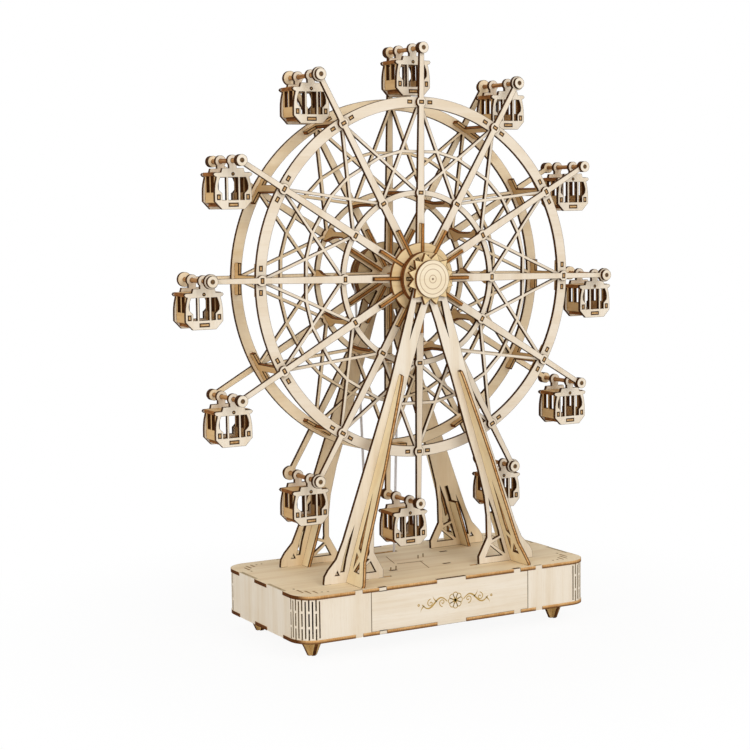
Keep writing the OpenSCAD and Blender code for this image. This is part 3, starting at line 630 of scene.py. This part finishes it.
@dataclass
class Dresser:
    """Gives CAD nodes their finishes and collects the burnt lines between them."""

    finishes: Finishes
    width: float = 0.34 * MM
    lift: float = 0.012 * MM
    end_width: float = 0.72 * MM
    end_strength: float = 2.2
    weld: float = 2e-7
    mitre_limit: float = 2.2
    square_least: float = 0.25
    lines: dict[str, list[tuple[np.ndarray, ...]]] = field(default_factory=dict)

    def dress(
        self,
        nodes: Iterable[str],
        rule: Rule,
        face: Any,
        edge: Any,
        body: str = "",
        scorch: float = 1.0,
        ends: Optional[Rule] = None,
        end: Any = None,
    ) -> None:
        """Sets the finishes of some nodes.

        Args:
            nodes: names of the nodes.
            rule: tells which triangles are faces of the sheet.
            face: the finish of the faces.
            edge: the finish of the cut edges.
            body: the body whose burnt lines these join.
            scorch: the strength of the burnt lines, or 0 where none is wanted.
            ends: tells which cut triangles are tenon ends, which have burnt lines of their own.
            end: the finish of those ends.
        """
        for name in nodes:
            faces = Faces.of(name)
            is_face = rule(faces)
            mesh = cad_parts[name].data
            mesh.materials.clear()
            mesh.materials.append(self.finishes(face))
            mesh.materials.append(self.finishes(edge))
            slots = np.where(is_face, 0, 1)
            if ends:
                mesh.materials.append(self.finishes(end))
                slots[ends(faces)] = 2
            mesh.polygons.foreach_set("material_index", slots.astype(np.int32))
            mesh.update()
            if scorch:
                self._burn(body, self._strips(faces, is_face, self.width), scorch, face)
            if ends:
                self._burn(body, self._strips(faces, ends(faces), self.end_width), self.end_strength, end)
            log.info("%s: %d of %d triangles are sheet faces", name, is_face.sum(), len(is_face))

    def _burn(self, body: str, quads: np.ndarray, strength: float, finish: Any) -> None:
        """Keeps burnt lines for a body.

        Args:
            body: the body that carries them.
            quads: their corners.
            strength: how dark they start; above 1 they stay dark for a while.
            finish: the wood around them, into whose mean colour they fade.
        """
        wood = 0.65 * np.array(finish.pale) + 0.35 * np.array(finish.warm)
        depths = np.tile([1.0 - strength, 1.0 - strength, 1.0, 1.0], (len(quads), 1))
        self.lines.setdefault(body, []).append((quads, depths, np.broadcast_to(wood, quads.shape)))

    def _strips(self, faces: Faces, is_face: np.ndarray, width: float) -> np.ndarray:
        """Works out the burnt lines of one node.

        Each edge p-q that a face triangle shares with a cut triangle becomes a quad p, q, q', p'. A primed
        point is moved into the face by the width along (d1 + d2) / (1 + d1 . d2), d1 and d2 being the inward
        directions of the two border edges that meet there, which is the mitre of the two.

        Args:
            faces: the triangles.
            is_face: which of them are faces.
            width: how wide the lines are.

        Returns:
            Points (n, 4, 3): the first two of each four lie at the cut, the others inside.
        """
        count = len(faces.corners)
        keys = np.round(faces.corners.reshape(-1, 3) / self.weld).astype(np.int64)
        ids = np.unique(keys, axis=0, return_inverse=True)[1].reshape(count, 3)
        start, end = ids.reshape(-1), np.roll(ids, -1, axis=1).reshape(-1)
        owner = np.repeat(np.arange(count), 3)
        low, high = np.minimum(start, end), np.maximum(start, end)
        order = np.lexsort((high, low))
        same = (low[order][1:] == low[order][:-1]) & (high[order][1:] == high[order][:-1])
        one, two = order[:-1][same], order[1:][same]
        differ = is_face[owner[one]] != is_face[owner[two]]
        one, two = one[differ], two[differ]
        border = np.where(is_face[owner[one]], one, two)
        tri = owner[border]
        flat_corners = faces.corners.reshape(-1, 3)
        p = flat_corners[border]
        q = flat_corners[tri * 3 + (border % 3 + 1) % 3]
        normal = faces.normals[tri]
        along = (q - p) / np.maximum(np.linalg.norm(q - p, axis=1, keepdims=True), 1e-12)
        inward = np.cross(normal, along)
        plane = np.unique(np.round(normal * 20).astype(int), axis=0, return_inverse=True)[1].reshape(-1)
        planes = plane.max(initial=0) + 1
        at_p, at_q = start[border] * planes + plane, end[border] * planes + plane
        places, slots = np.unique(np.concatenate([at_p, at_q]), return_inverse=True)
        slots = slots.reshape(-1)
        total = np.zeros((len(places), 3))
        np.add.at(total, slots, np.concatenate([inward, inward]))
        number = np.bincount(slots, minlength=len(places))
        both = total[slots]
        square = (both**2).sum(axis=1, keepdims=True)
        meet = (number[slots] == 2)[:, None]
        plain = np.concatenate([inward, inward])
        mitre = np.where(meet, 2 * both / np.maximum(square, self.square_least), plain)
        size = np.linalg.norm(mitre, axis=1, keepdims=True)
        mitre *= np.minimum(1.0, self.mitre_limit / np.maximum(size, 1e-9))
        mp, mq = mitre[: len(border)], mitre[len(border) :]
        raise_by = normal * self.lift
        inner_q, inner_p = q + mq * width, p + mp * width
        return np.stack([p, q, inner_q, inner_p], axis=1) + raise_by[:, None]

    def draw(self) -> None:
        """Makes one piece of burnt lines for each body."""
        for body, groups in self.lines.items():
            quads, depths, woods = (np.concatenate([group[i] for group in groups]) for i in range(3))
            piece = quad_piece(f"scorch_{body}", quads, depths, self.finishes(Scorch("scorch_line")), woods)
            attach(piece, body)
            log.info("%s: %d burnt line pieces", piece.name, len(quads))


def quad_piece(
    name: str,
    quads: np.ndarray,
    depths: np.ndarray,
    finish: bpy.types.Material,
    woods: Optional[np.ndarray] = None,
) -> bpy.types.Object:
    """Makes a mesh of separate quads.

    Args:
        name: the piece's name.
        quads: corner points, (n, 4, 3).
        depths: a value for each corner, (n, 4), kept as the attribute "depth".
        finish: its material.
        woods: a colour for each corner, (n, 4, 3), kept as the attribute "wood".

    Returns:
        The new piece, linked to the scene.
    """
    count = len(quads)
    mesh = bpy.data.meshes.new(name)
    mesh.vertices.add(count * 4)
    mesh.vertices.foreach_set("co", quads.reshape(-1).astype(np.float32))
    mesh.loops.add(count * 4)
    mesh.loops.foreach_set("vertex_index", np.arange(count * 4, dtype=np.int32))
    mesh.polygons.add(count)
    mesh.polygons.foreach_set("loop_start", np.arange(0, count * 4, 4, dtype=np.int32))
    mesh.update(calc_edges=True)
    attribute = mesh.attributes.new("depth", "FLOAT", "POINT")
    attribute.data.foreach_set("value", depths.reshape(-1).astype(np.float32))
    if woods is not None:
        colours = np.concatenate([woods, np.ones((count, 4, 1))], axis=2)
        attribute = mesh.attributes.new("wood", "FLOAT_COLOR", "POINT")
        attribute.data.foreach_set("color", colours.reshape(-1).astype(np.float32))
    mesh.materials.append(finish)
    piece = bpy.data.objects.new(name, mesh)
    bpy.context.scene.collection.objects.link(piece)
    return piece


# Engraved lines


@dataclass
class Engraving:
    """Burnt-in lines on one flat face, drawn in its own two directions."""

    origin: Vector
    right: Vector
    up: Vector
    width: float = 0.7 * MM
    lift: float = 0.02 * MM
    middle_depth: float = 0.1
    side_depth: float = 0.75
    quads: list[np.ndarray] = field(default_factory=list)
    depths: list[np.ndarray] = field(default_factory=list)

    def line(self, u: np.ndarray, v: np.ndarray, width: Optional[Union[float, np.ndarray]] = None) -> None:
        """Adds a stroke along the points (u, v), in millimetres.

        At each point the stroke's two sides lie half its width to the left and right of the path's direction.

        Args:
            u: places to the right.
            v: places upwards.
            width: the stroke's width in metres, or one for each point.
        """
        path = np.stack([u, v], axis=1).astype(float) * MM
        half = np.broadcast_to(np.asarray(self.width if width is None else width) / 2, len(path))[:, None]
        ahead = np.gradient(path, axis=0)
        ahead /= np.maximum(np.linalg.norm(ahead, axis=1, keepdims=True), 1e-12)
        side = np.stack([-ahead[:, 1], ahead[:, 0]], axis=1) * half
        for sign in (1.0, -1.0):
            outer = path + side * sign
            cells = np.stack([outer[:-1], outer[1:], path[1:], path[:-1]], axis=1)
            depth = np.array([self.side_depth, self.side_depth, self.middle_depth, self.middle_depth])
            if sign > 0:
                cells, depth = cells[:, ::-1], depth[::-1]
            self.quads.append(self._placed(cells))
            self.depths.append(np.tile(depth, (len(cells), 1)))

    def _placed(self, cells: np.ndarray) -> np.ndarray:
        """Returns flat cells (n, 4, 2) as points of the face, just in front of it."""
        right, up = np.array(self.right), np.array(self.up)
        out = np.cross(right, up)
        return np.array(self.origin) + cells[..., :1] * right + cells[..., 1:] * up + out * self.lift

    def piece(self, name: str, body: str, finish: bpy.types.Material) -> None:
        """Makes the piece and lets it ride on a body."""
        made = quad_piece(name, np.concatenate(self.quads), np.concatenate(self.depths), finish)
        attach(made, body)
        log.info("%s: %d engraved cells", name, len(made.data.polygons))


SCROLL_POINTS = 48


def spiral(
    u: float, v: float, start: float, size: float, turns: float, flip: float
) -> tuple[np.ndarray, np.ndarray]:
    """Makes a scroll that winds inwards: radius size (1 - 0.9 t^0.8), angle start + flip 2 pi turns t.

    Args:
        u: its centre to the right.
        v: its centre upwards.
        start: the angle at which it starts.
        size: its outer radius.
        turns: how often it winds round.
        flip: 1 or -1, the way it winds.

    Returns:
        The points' places to the right and upwards.
    """
    t = np.linspace(0.0, 1.0, SCROLL_POINTS)
    radius = size * (1 - 0.9 * t**0.8)
    angle = start + flip * turns * 2 * math.pi * t
    return u + radius * np.cos(angle), v + radius * np.sin(angle)


# The toy's sub-assemblies


@dataclass
class Base:
    """The hollow base with its plates, bent walls, panels, feet and engraved ornament.

    A hatch is its distance from the middle to the side, and where it starts and ends towards the front or
    rear, in millimetres.
    """

    dresser: Dresser
    bottom_z: float = FOOT_HEIGHT
    deck_z: float = FOOT_HEIGHT + BASE_ROOM + 2 * SHEET
    front_y: float = WALL_IN - BASE_HALF_DEPTH
    ornament_x: float = 2.5 * MM
    ornament_z: float = 23.6 * MM
    petals: int = 8
    seam_x: float = 51.9 * MM
    seam_width: float = 0.5 * MM
    seam_points: int = 6
    hatch_points: int = 8
    hatches: tuple[tuple[float, float, float], ...] = (
        (88.4, 26.4, 28.2),
        (88.0, 30.4, 38.0),
        (85.2, 34.5, 42.0),
        (81.7, 37.3, 43.4),
        (78.4, 41.0, 42.6),
        (74.9, 41.6, 43.0),
    )

    def dress(self) -> None:
        """Gives the plates, walls, panels, ribs and feet their wood."""
        wood = Veneer("base_deck_wood", Grain.ALONG_X, pale=linear(237, 219, 186), warm=linear(213, 183, 139))
        # The plates' cut sides: dark browns where they face sideways, partly painted shade, and golden ones
        # where they face the front or rear, a painted highlight.
        side = Burn(linear(112, 66, 28), linear(60, 31, 9))
        front = Burn(linear(228, 184, 128), linear(188, 134, 76))
        for node, start in (("base_bottom_plate", self.bottom_z), ("base_top_plate", self.deck_z - SHEET)):
            ply = Ply((0.0, 0.0, 1.0), start, one_sided=True)
            cut = CutEdge(f"{node}_cut", side, front, linear(84, 46, 14), 0.45, ply, (-0.35, 0.45))
            self.dresser.dress([node], flat, wood, cut, "base", 0.6)
        slit = Burn(linear(198, 180, 148), linear(142, 122, 90))
        wall = Veneer("base_wall_wood", Grain.ALONG_Z, shift=0.3)
        wall_cut = CutEdge("wall_slit_cut", slit, slit, burn=0.4)
        self.dresser.dress(["left_wall_wrap", "right_wall_wrap"], bent_wall, wall, wall_cut, "base", 0.0)
        panels = ["front_centre_panel", "rear_centre_panel", "inner_bearing_board", "base_cross_ribs"]
        panel = Veneer("panel_wood", Grain.ALONG_X, shift=0.7)
        self.dresser.dress(panels, upright, panel, CutEdge("panel_cut"), "base")
        golden = Veneer("foot_wood", Grain.ALONG_Z, linear(222, 190, 132), linear(196, 156, 92))
        foot = Burn(linear(118, 74, 36), linear(60, 32, 14))
        self.dresser.dress(["base_feet"], crossed, golden, CutEdge("foot_cut", foot, foot), "base")

    def engrave_panel(self) -> None:
        """Burns a plain scroll and leaf ornament into the front panel."""
        middle = Vector((self.ornament_x, self.front_y + MID_Y, self.ornament_z))
        art = Engraving(middle, Vector((1, 0, 0)), Vector((0, 0, 1)), 0.75 * MM)
        t = np.linspace(0.0, 1.0, 40)
        for petal in range(self.petals):
            a = petal * 2 * math.pi / self.petals
            out = 4.6 * np.sin(math.pi * t) * np.cos((t - 0.5) * 0.9)
            swing = 0.42 * np.sin(2 * math.pi * t)
            art.line(out * np.cos(a + swing), out * np.sin(a + swing), 0.5 * MM)
        for side in (1.0, -1.0):
            swell = (0.5 + 0.5 * np.sin(math.pi * t)) * MM
            art.line(side * (5.4 + 16.6 * t), 2.6 * np.sin(2 * math.pi * t), swell)
            for place, flip in ((8.6, 1.0), (16.4, -1.0)):
                u, v = spiral(place, -flip * 0.2, -flip * 1.6, 2.5, 1.25, flip)
                art.line(side * u, v, 0.55 * MM)
            for place, flip in ((12.4, 1.0), (20.6, -1.0)):
                leaf = 0.9 * MM * (1.05 - t)
                art.line(side * (place + 2.4 * np.sin(1.6 * t)), flip * (0.6 + 3.6 * t), leaf)
            dots = np.linspace(0.0, 2 * math.pi, 16)
            art.line(side * (24.2 + 0.5 * np.cos(dots)), 0.5 * np.sin(dots), 0.6 * MM)
        burn = Scorch("panel_burn", linear(158, 124, 56), linear(206, 178, 118))
        art.piece("panel_ornament", "base", self.dresser.finishes(burn))

    def draw_seams(self) -> None:
        """Draws dark lines where the side walls meet the front and the rear panel: painted shade of the
        narrow gap at each joint, with the burn of the panels' edges.
        """
        height = np.linspace(self.bottom_z + SHEET, self.deck_z - SHEET, self.seam_points) / MM
        # Grey-brown lines over the joints: painted shade of the narrow gaps, together with the burn of the
        # panels' edges.
        seam = Scorch("seam_gap_shade_line", linear(58, 46, 34), linear(150, 132, 110))
        for name, side in (("front_seams", -1.0), ("rear_seams", 1.0)):
            origin = Vector((0.0, MID_Y - side * self.front_y, 0.0))
            art = Engraving(origin, Vector((-side, 0, 0)), Vector((0, 0, 1)), self.seam_width)
            for x in (-self.seam_x, self.seam_x):
                art.line(np.full(self.seam_points, x / MM), height)
            art.piece(name, "base", self.dresser.finishes(seam))

    def engrave_deck(self) -> None:
        """Burns short hatches into the corners of the deck and a plain bar motif into its middle."""
        art = Engraving(Vector((0.0, MID_Y, self.deck_z)), Vector((1, 0, 0)), Vector((0, 1, 0)), 1.0 * MM)
        t = np.linspace(0.0, 1.0, self.hatch_points)
        for sx in (1.0, -1.0):
            for sy in (1.0, -1.0):
                for x, near, far in self.hatches:
                    along = sy * (near + (far - near) * t)
                    art.line(np.full(self.hatch_points, sx * x), along, (1.45 - 0.5 * t) * MM)
        art.line(-7.4 + 16.8 * t, -1.0 - 1.3 * t, 1.3 * MM)
        for s in (1.0, -1.0):
            art.line(s * (10.6 + 5.1 * t), s * (5.3 + 8.7 * t), 0.8 * MM)
            art.line(s * (15.3 + 5.3 * t), s * (7.4 + 9.0 * t), 0.8 * MM)
            art.line(s * (8.2 - 5.4 * t), s * (-0.8 - 19.6 * t), 0.6 * MM)
            art.line(s * (17.6 + 2.6 * t), s * (-14.2 - 0.4 * t), 0.8 * MM)
        burn = Scorch("deck_burn", linear(122, 90, 54), linear(176, 148, 108))
        art.piece("deck_marks", "base", self.dresser.finishes(burn))


@dataclass
class Towers:
    """The two A-shaped towers and their leaning side ribs."""

    dresser: Dresser
    rib_face: float = 62.68 * MM

    def dress(self) -> None:
        """Gives the towers and ribs their wood."""
        cut = CutEdge("tower_cut", ply=Ply(ACROSS_Y, TOWER_Y))
        wood = Veneer("tower_wood", Grain.ALONG_Z, shift=0.11)
        self.dresser.dress(["front_tower"], upright, wood, cut, "base")
        # The rear tower takes the warmer rear copy of the wood: painted warm bounce light.
        rear = Veneer("rear_tower_wood", Grain.ALONG_Z, REAR_BOUNCE_PALE, REAR_BOUNCE_WARM, shift=0.13)
        self.dresser.dress(["rear_tower"], upright, rear, cut, "base")
        rib_wood = Veneer("rib_wood", Grain.ALONG_Z, linear(240, 222, 183), linear(220, 190, 138), shift=0.17)
        # The ribs' cut sides facing the front or rear are golden, lighter than the sideways ones: painted
        # highlight of the front light.
        front = Burn(linear(226, 184, 130), linear(176, 122, 66))
        ply = Ply((math.cos(LEAN), 0.0, math.sin(LEAN)), self.rib_face)
        rib = CutEdge("rib_cut", front=front, char_and_slot_shade=linear(72, 38, 8), ply=ply, rise=(0.02, 0.4))
        self.dresser.dress(["front_tower_ribs", "rear_tower_ribs"], leaning, rib_wood, rib, "base")


@dataclass
class Wheel:
    """The turning wheel: hub, fins, spokes, rims, lattice, ties, rods and pulley."""

    dresser: Dresser
    rim_tie_r: float = 98.7 * MM
    inner_tie_r: float = 47.6 * MM
    # Radius beyond which the fin tenon ends carry painted shade of their dark slots.
    tenon_slot_shade_r: float = 11.6 * MM
    cap_rings: tuple[float, ...] = (2.2, 5.6, 8.5)

    def dress(self) -> None:
        """Gives every sheet and dowel of the wheel its wood."""
        sheets = CutEdge("wheel_cut", ply=Ply(ACROSS_Y, RIM_Y))
        # The rear rim and spokes take the warmer rear copy of the wood: painted warm bounce light.
        woods = (("front", linear(230, 218, 200), linear(213, 193, 164)), ("rear", REAR_BOUNCE_PALE, REAR_BOUNCE_WARM))
        for side, pale, warm in woods:
            rim = Veneer(f"{side}_rim_wood", Grain.ALONG_X, pale, warm, shift=0.21)
            spoke = Veneer(f"{side}_spoke_wood", Grain.ALONG_Z, pale, warm, shift=0.27)
            self.dresser.dress([f"{side}_rim_lattice"], upright, rim, sheets, "wheel")
            self.dresser.dress([f"{side}_spokes"], upright, spoke, sheets, "wheel")
        tie_wood = Veneer("tie_wood", Grain.ALONG_Y, linear(218, 180, 124), linear(188, 142, 86), shift=0.33)
        tie_side = Burn(linear(156, 100, 52), linear(96, 54, 24))
        for node, radius in (("rim_connectors", self.rim_tie_r), ("inner_connectors", self.inner_tie_r)):
            sides = CutEdge(f"{node}_cut", side=tie_side, ply=Ply((0.0, 0.0, 1.0), radius, on_spoke=True))
            self.dresser.dress([node], tie, tie_wood, sides, "wheel", ends=upright, end=TenonEnd("tenon_end"))
        self.dress_hub()
        self.dresser.dress(["rod_washers"], upright, Veneer("washer_wood", shift=0.72), sheets, "wheel")
        dowels = ["cabin_rods", "main_axle"]
        self.dresser.dress(dowels, round_side, Dowel("dowel_side"), DOWEL_END_GRAIN_AND_SHADE, scorch=0.0)

    def dress_hub(self) -> None:
        """Gives the discs, plates, fins, toothed ring, cap and pulley their wood."""
        golden = {"pale": linear(228, 202, 156), "warm": linear(202, 164, 108)}
        disc = Veneer("hub_disc_wood", Grain.ALONG_X, shift=0.4, **golden)
        hub_side = Burn(linear(152, 94, 48), linear(94, 50, 21))
        hub = CutEdge("hub_cut", side=hub_side, ply=Ply(ACROSS_Y, RIM_Y))
        plate = CutEdge("hub_plate_cut", side=hub_side, ply=Ply(ACROSS_Y, PLATE_Y))
        self.dresser.dress(["hub_discs"], upright, disc, hub, "wheel")
        self.dresser.dress(["hub_plates"], upright, disc, plate, "wheel")
        fin_wood = Veneer("fin_wood", Grain.ALONG_Y, linear(220, 190, 142), linear(186, 144, 88), shift=0.5)
        fin_ply = Ply((1.0, 0.0, 0.0), -SHEET / 2, on_spoke=True)
        # Fin cut sides facing the front or rear take golden browns, lighter than the sideways ones: painted
        # highlight of the front light.
        fin_cut = CutEdge("fin_cut", front=Burn(linear(190, 136, 78), linear(142, 90, 44)), ply=fin_ply)
        # Fin tenon ends turn near-black beyond the given radius: painted shade of the dark slots at the
        # spokes.
        slot = TenonEnd("fin_tenon_end", slot_shade_from=self.tenon_slot_shade_r, **golden)
        self.dresser.dress(["hub_fins"], radial_fin, fin_wood, fin_cut, "wheel", ends=outermost, end=slot)
        ring_side = Burn(linear(150, 96, 46), linear(82, 42, 17))
        ring_cut = CutEdge("ring_cut", side=ring_side, ply=Ply(ACROSS_Y, RING_Y))
        ring = Veneer("ring_wood", Grain.ALONG_X, linear(236, 212, 164), linear(212, 172, 110), shift=0.6)
        self.dresser.dress(["toothed_ring"], upright, ring, ring_cut, "wheel")
        cap_woods = {"pale": linear(238, 225, 200), "warm": linear(222, 202, 166)}
        cap = Veneer("cap_wood", Grain.ALONG_X, shift=0.66, rings=self.cap_rings, **cap_woods)
        self.dresser.dress(["front_hub_cap"], upright, cap, ring_cut, "wheel")
        pulley = Veneer("pulley_wood", Grain.ALONG_X, linear(204, 168, 114), linear(170, 128, 78), shift=0.45)
        self.dresser.dress(["wheel_pulley"], upright, pulley, ring_cut, "wheel")


@dataclass
class Cabins:
    """The twelve hanging cabins."""

    dresser: Dresser
    count: int = SPOKES
    plate_y: float = 6.9 * MM

    def dress(self) -> None:
        """Gives each cabin's end plates and box their wood."""
        wood = Veneer("cabin_wood", Grain.ALONG_Z, shift=0.81)
        cut = CutEdge("cabin_cut", ply=Ply(ACROSS_Y, self.plate_y))
        inner_woods = {"pale": linear(220, 184, 130), "warm": linear(184, 140, 84)}
        inner = Veneer("cabin_box_wood", Grain.ALONG_Y, shift=0.9, **inner_woods)
        outline = Burn(linear(168, 112, 60), linear(96, 54, 24))
        slit = Burn(linear(96, 56, 24), linear(52, 27, 9))
        inner_cut = CutEdge("cabin_box_cut", side=outline, front=slit)
        end = TenonEnd("tenon_end")
        for k in range(1, self.count + 1):
            body = f"cabin_{k:02d}"
            self.dresser.dress([f"{body}_end_plates"], upright, wood, cut, body)
            box = [f"{body}_box"]
            self.dresser.dress(box, cabin_box, inner, inner_cut, body, ends=outermost, end=end)


@dataclass
class Crank:
    """The crank at the rear with its shaft, collars, pulley, arm, pin and knob."""

    dresser: Dresser
    arm_y: float = BASE_HALF_DEPTH + CRANK_GAP

    def dress(self) -> None:
        """Gives the crank's sheets and dowels their wood."""
        sheet = Veneer("crank_wood", Grain.ALONG_Z, shift=1.0)
        cut = CutEdge("crank_cut", ply=Ply(ACROSS_Y, self.arm_y))
        self.dresser.dress(["crank_arm", "crank_pulley", "crank_collars"], upright, sheet, cut, "crank")
        dowels = ["crank_shaft", "crank_pin"]
        self.dresser.dress(dowels, round_side, Dowel("dowel_side"), DOWEL_END_GRAIN_AND_SHADE, scorch=0.0)
        knob_end = Dowel("knob_end", linear(196, 156, 102), linear(150, 108, 62), end=True)
        self.dresser.dress(["crank_knob"], round_side, Dowel("knob_side"), knob_end, scorch=0.0)


@dataclass
class Belt:
    """The clear cord belt."""

    finishes: Finishes

    def dress(self) -> None:
        """Gives the belt its clear plastic."""
        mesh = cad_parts["drive_belt"].data
        mesh.materials.clear()
        mesh.materials.append(self.finishes(ClearCord("clear_cord")))
        log.info("drive_belt: clear cord")


@dataclass
class Studio:
    """Camera, white floor and soft light."""

    place: tuple[float, float, float] = (-0.50734, -0.87545 + MID_Y, 0.25365)
    azimuth: float = math.radians(29.053)
    pitch: float = math.radians(5.825)
    roll: float = -0.0137
    focal: float = 1742.8
    centre: tuple[float, float] = (373.43, 370.96)
    width: float = 750.0
    sensor: float = 36.0
    room_light: float = 0.58
    front_light: float = 12.4
    side_light: float = 8.2
    lit_point: tuple[float, float, float] = (0.0, 0.0, 0.17)
    floor_half: float = 3.0
    floor_drop: float = 0.02 * MM

    def camera(self) -> None:
        """Adds the camera, looking the way the photograph was taken."""
        data = bpy.data.cameras.new("camera")
        data.sensor_width = self.sensor
        data.lens = self.focal * self.sensor / self.width
        data.shift_x = (self.width / 2 - self.centre[0]) / self.width
        data.shift_y = (self.centre[1] - self.width / 2) / self.width
        data.clip_start, data.clip_end = 0.05, 20.0
        camera = bpy.data.objects.new("camera", data)
        bpy.context.scene.collection.objects.link(camera)
        level = math.cos(self.pitch)
        across, along = math.sin(self.azimuth) * level, math.cos(self.azimuth) * level
        ahead = Vector((across, along, -math.sin(self.pitch)))
        right = Vector((math.cos(self.azimuth), -math.sin(self.azimuth), 0.0))
        up = right.cross(ahead)
        turned_right = right * math.cos(self.roll) + up * math.sin(self.roll)
        turned_up = up * math.cos(self.roll) - right * math.sin(self.roll)
        axes = Matrix((turned_right, turned_up, -ahead)).transposed()
        camera.matrix_world = Matrix.Translation(Vector(self.place)) @ axes.to_4x4()
        bpy.context.scene.camera = camera

    def floor(self) -> None:
        """Adds a white floor that keeps a faint shadow of the toy."""
        signs = np.array([[-1.0, -1.0], [1.0, -1.0], [1.0, 1.0], [-1.0, 1.0]])
        quad = np.concatenate([signs * self.floor_half, np.full((4, 1), -self.floor_drop)], axis=1)[None]
        tree = Tree("white_floor")
        paper = tree.node("ShaderNodeBsdfDiffuse", None, {"Color": (0.9, 0.9, 0.9)})
        glow = tree.node("ShaderNodeEmission", None, {"Color": (1.0, 1.0, 1.0), "Strength": 1.0})
        x, y, _ = tree.parts(tree.place())
        away = ((x ** 2.0) + (y ** 2.0)) ** 0.5
        share = tree.plainly_seen() * (away.ease(0.1, 0.3) * 0.08 + 0.92)
        both = tree.node("ShaderNodeMixShader", None, {0: share, 1: paper.outputs[0], 2: glow.outputs[0]})
        quad_piece("floor", quad, np.zeros((1, 4)), tree.close(both))

    def lights(self) -> None:
        """Lights the toy with a pale world, a large front lamp and a smaller one from the upper right."""
        tree = Tree("pale_room", world=True)
        room = tree.node("ShaderNodeBackground", None, {0: (1.0, 0.985, 0.965), 1: self.room_light})
        white = tree.node("ShaderNodeBackground", None, {0: (1.0, 1.0, 1.0), 1: 1.0})
        seen = tree.plainly_seen()
        both = tree.node("ShaderNodeMixShader", None, {0: seen, 1: room.outputs[0], 2: white.outputs[0]})
        bpy.context.scene.world = tree.close(both)
        self._lamp("front_lamp", (0.25, -1.6, 1.0), 1.1, self.front_light, (1.0, 0.985, 0.965))
        self._lamp("side_lamp", (-1.5, -0.7, 0.9), 0.9, self.side_light, (1.0, 0.955, 0.895))

    def _lamp(self, name: str, place: Sequence[float], size: float, watts: float, colour: Colour) -> None:
        """Adds one square lamp that points at the middle of the wheel."""
        data = bpy.data.lights.new(name, "AREA")
        data.size, data.energy, data.color = size, watts, colour
        lamp = bpy.data.objects.new(name, data)
        bpy.context.scene.collection.objects.link(lamp)
        lamp.location = place
        ahead = Vector(self.lit_point) - Vector(place)
        lamp.rotation_euler = ahead.to_track_quat("-Z", "Y").to_euler()


def main() -> None:
    """Builds the studio and dresses every sub-assembly."""
    logging.basicConfig(level=logging.INFO, format="%(message)s")
    bpy.context.scene.view_settings.view_transform = "Standard"
    studio = Studio()
    studio.camera()
    studio.floor()
    studio.lights()
    finishes = Finishes()
    dresser = Dresser(finishes)
    base = Base(dresser)
    base.dress()
    Towers(dresser).dress()
    Wheel(dresser).dress()
    Cabins(dresser).dress()
    Crank(dresser).dress()
    Belt(finishes).dress()
    dresser.draw()
    base.engrave_panel()
    base.engrave_deck()
    base.draw_seams()


if __name__ == "__main__":
    main()
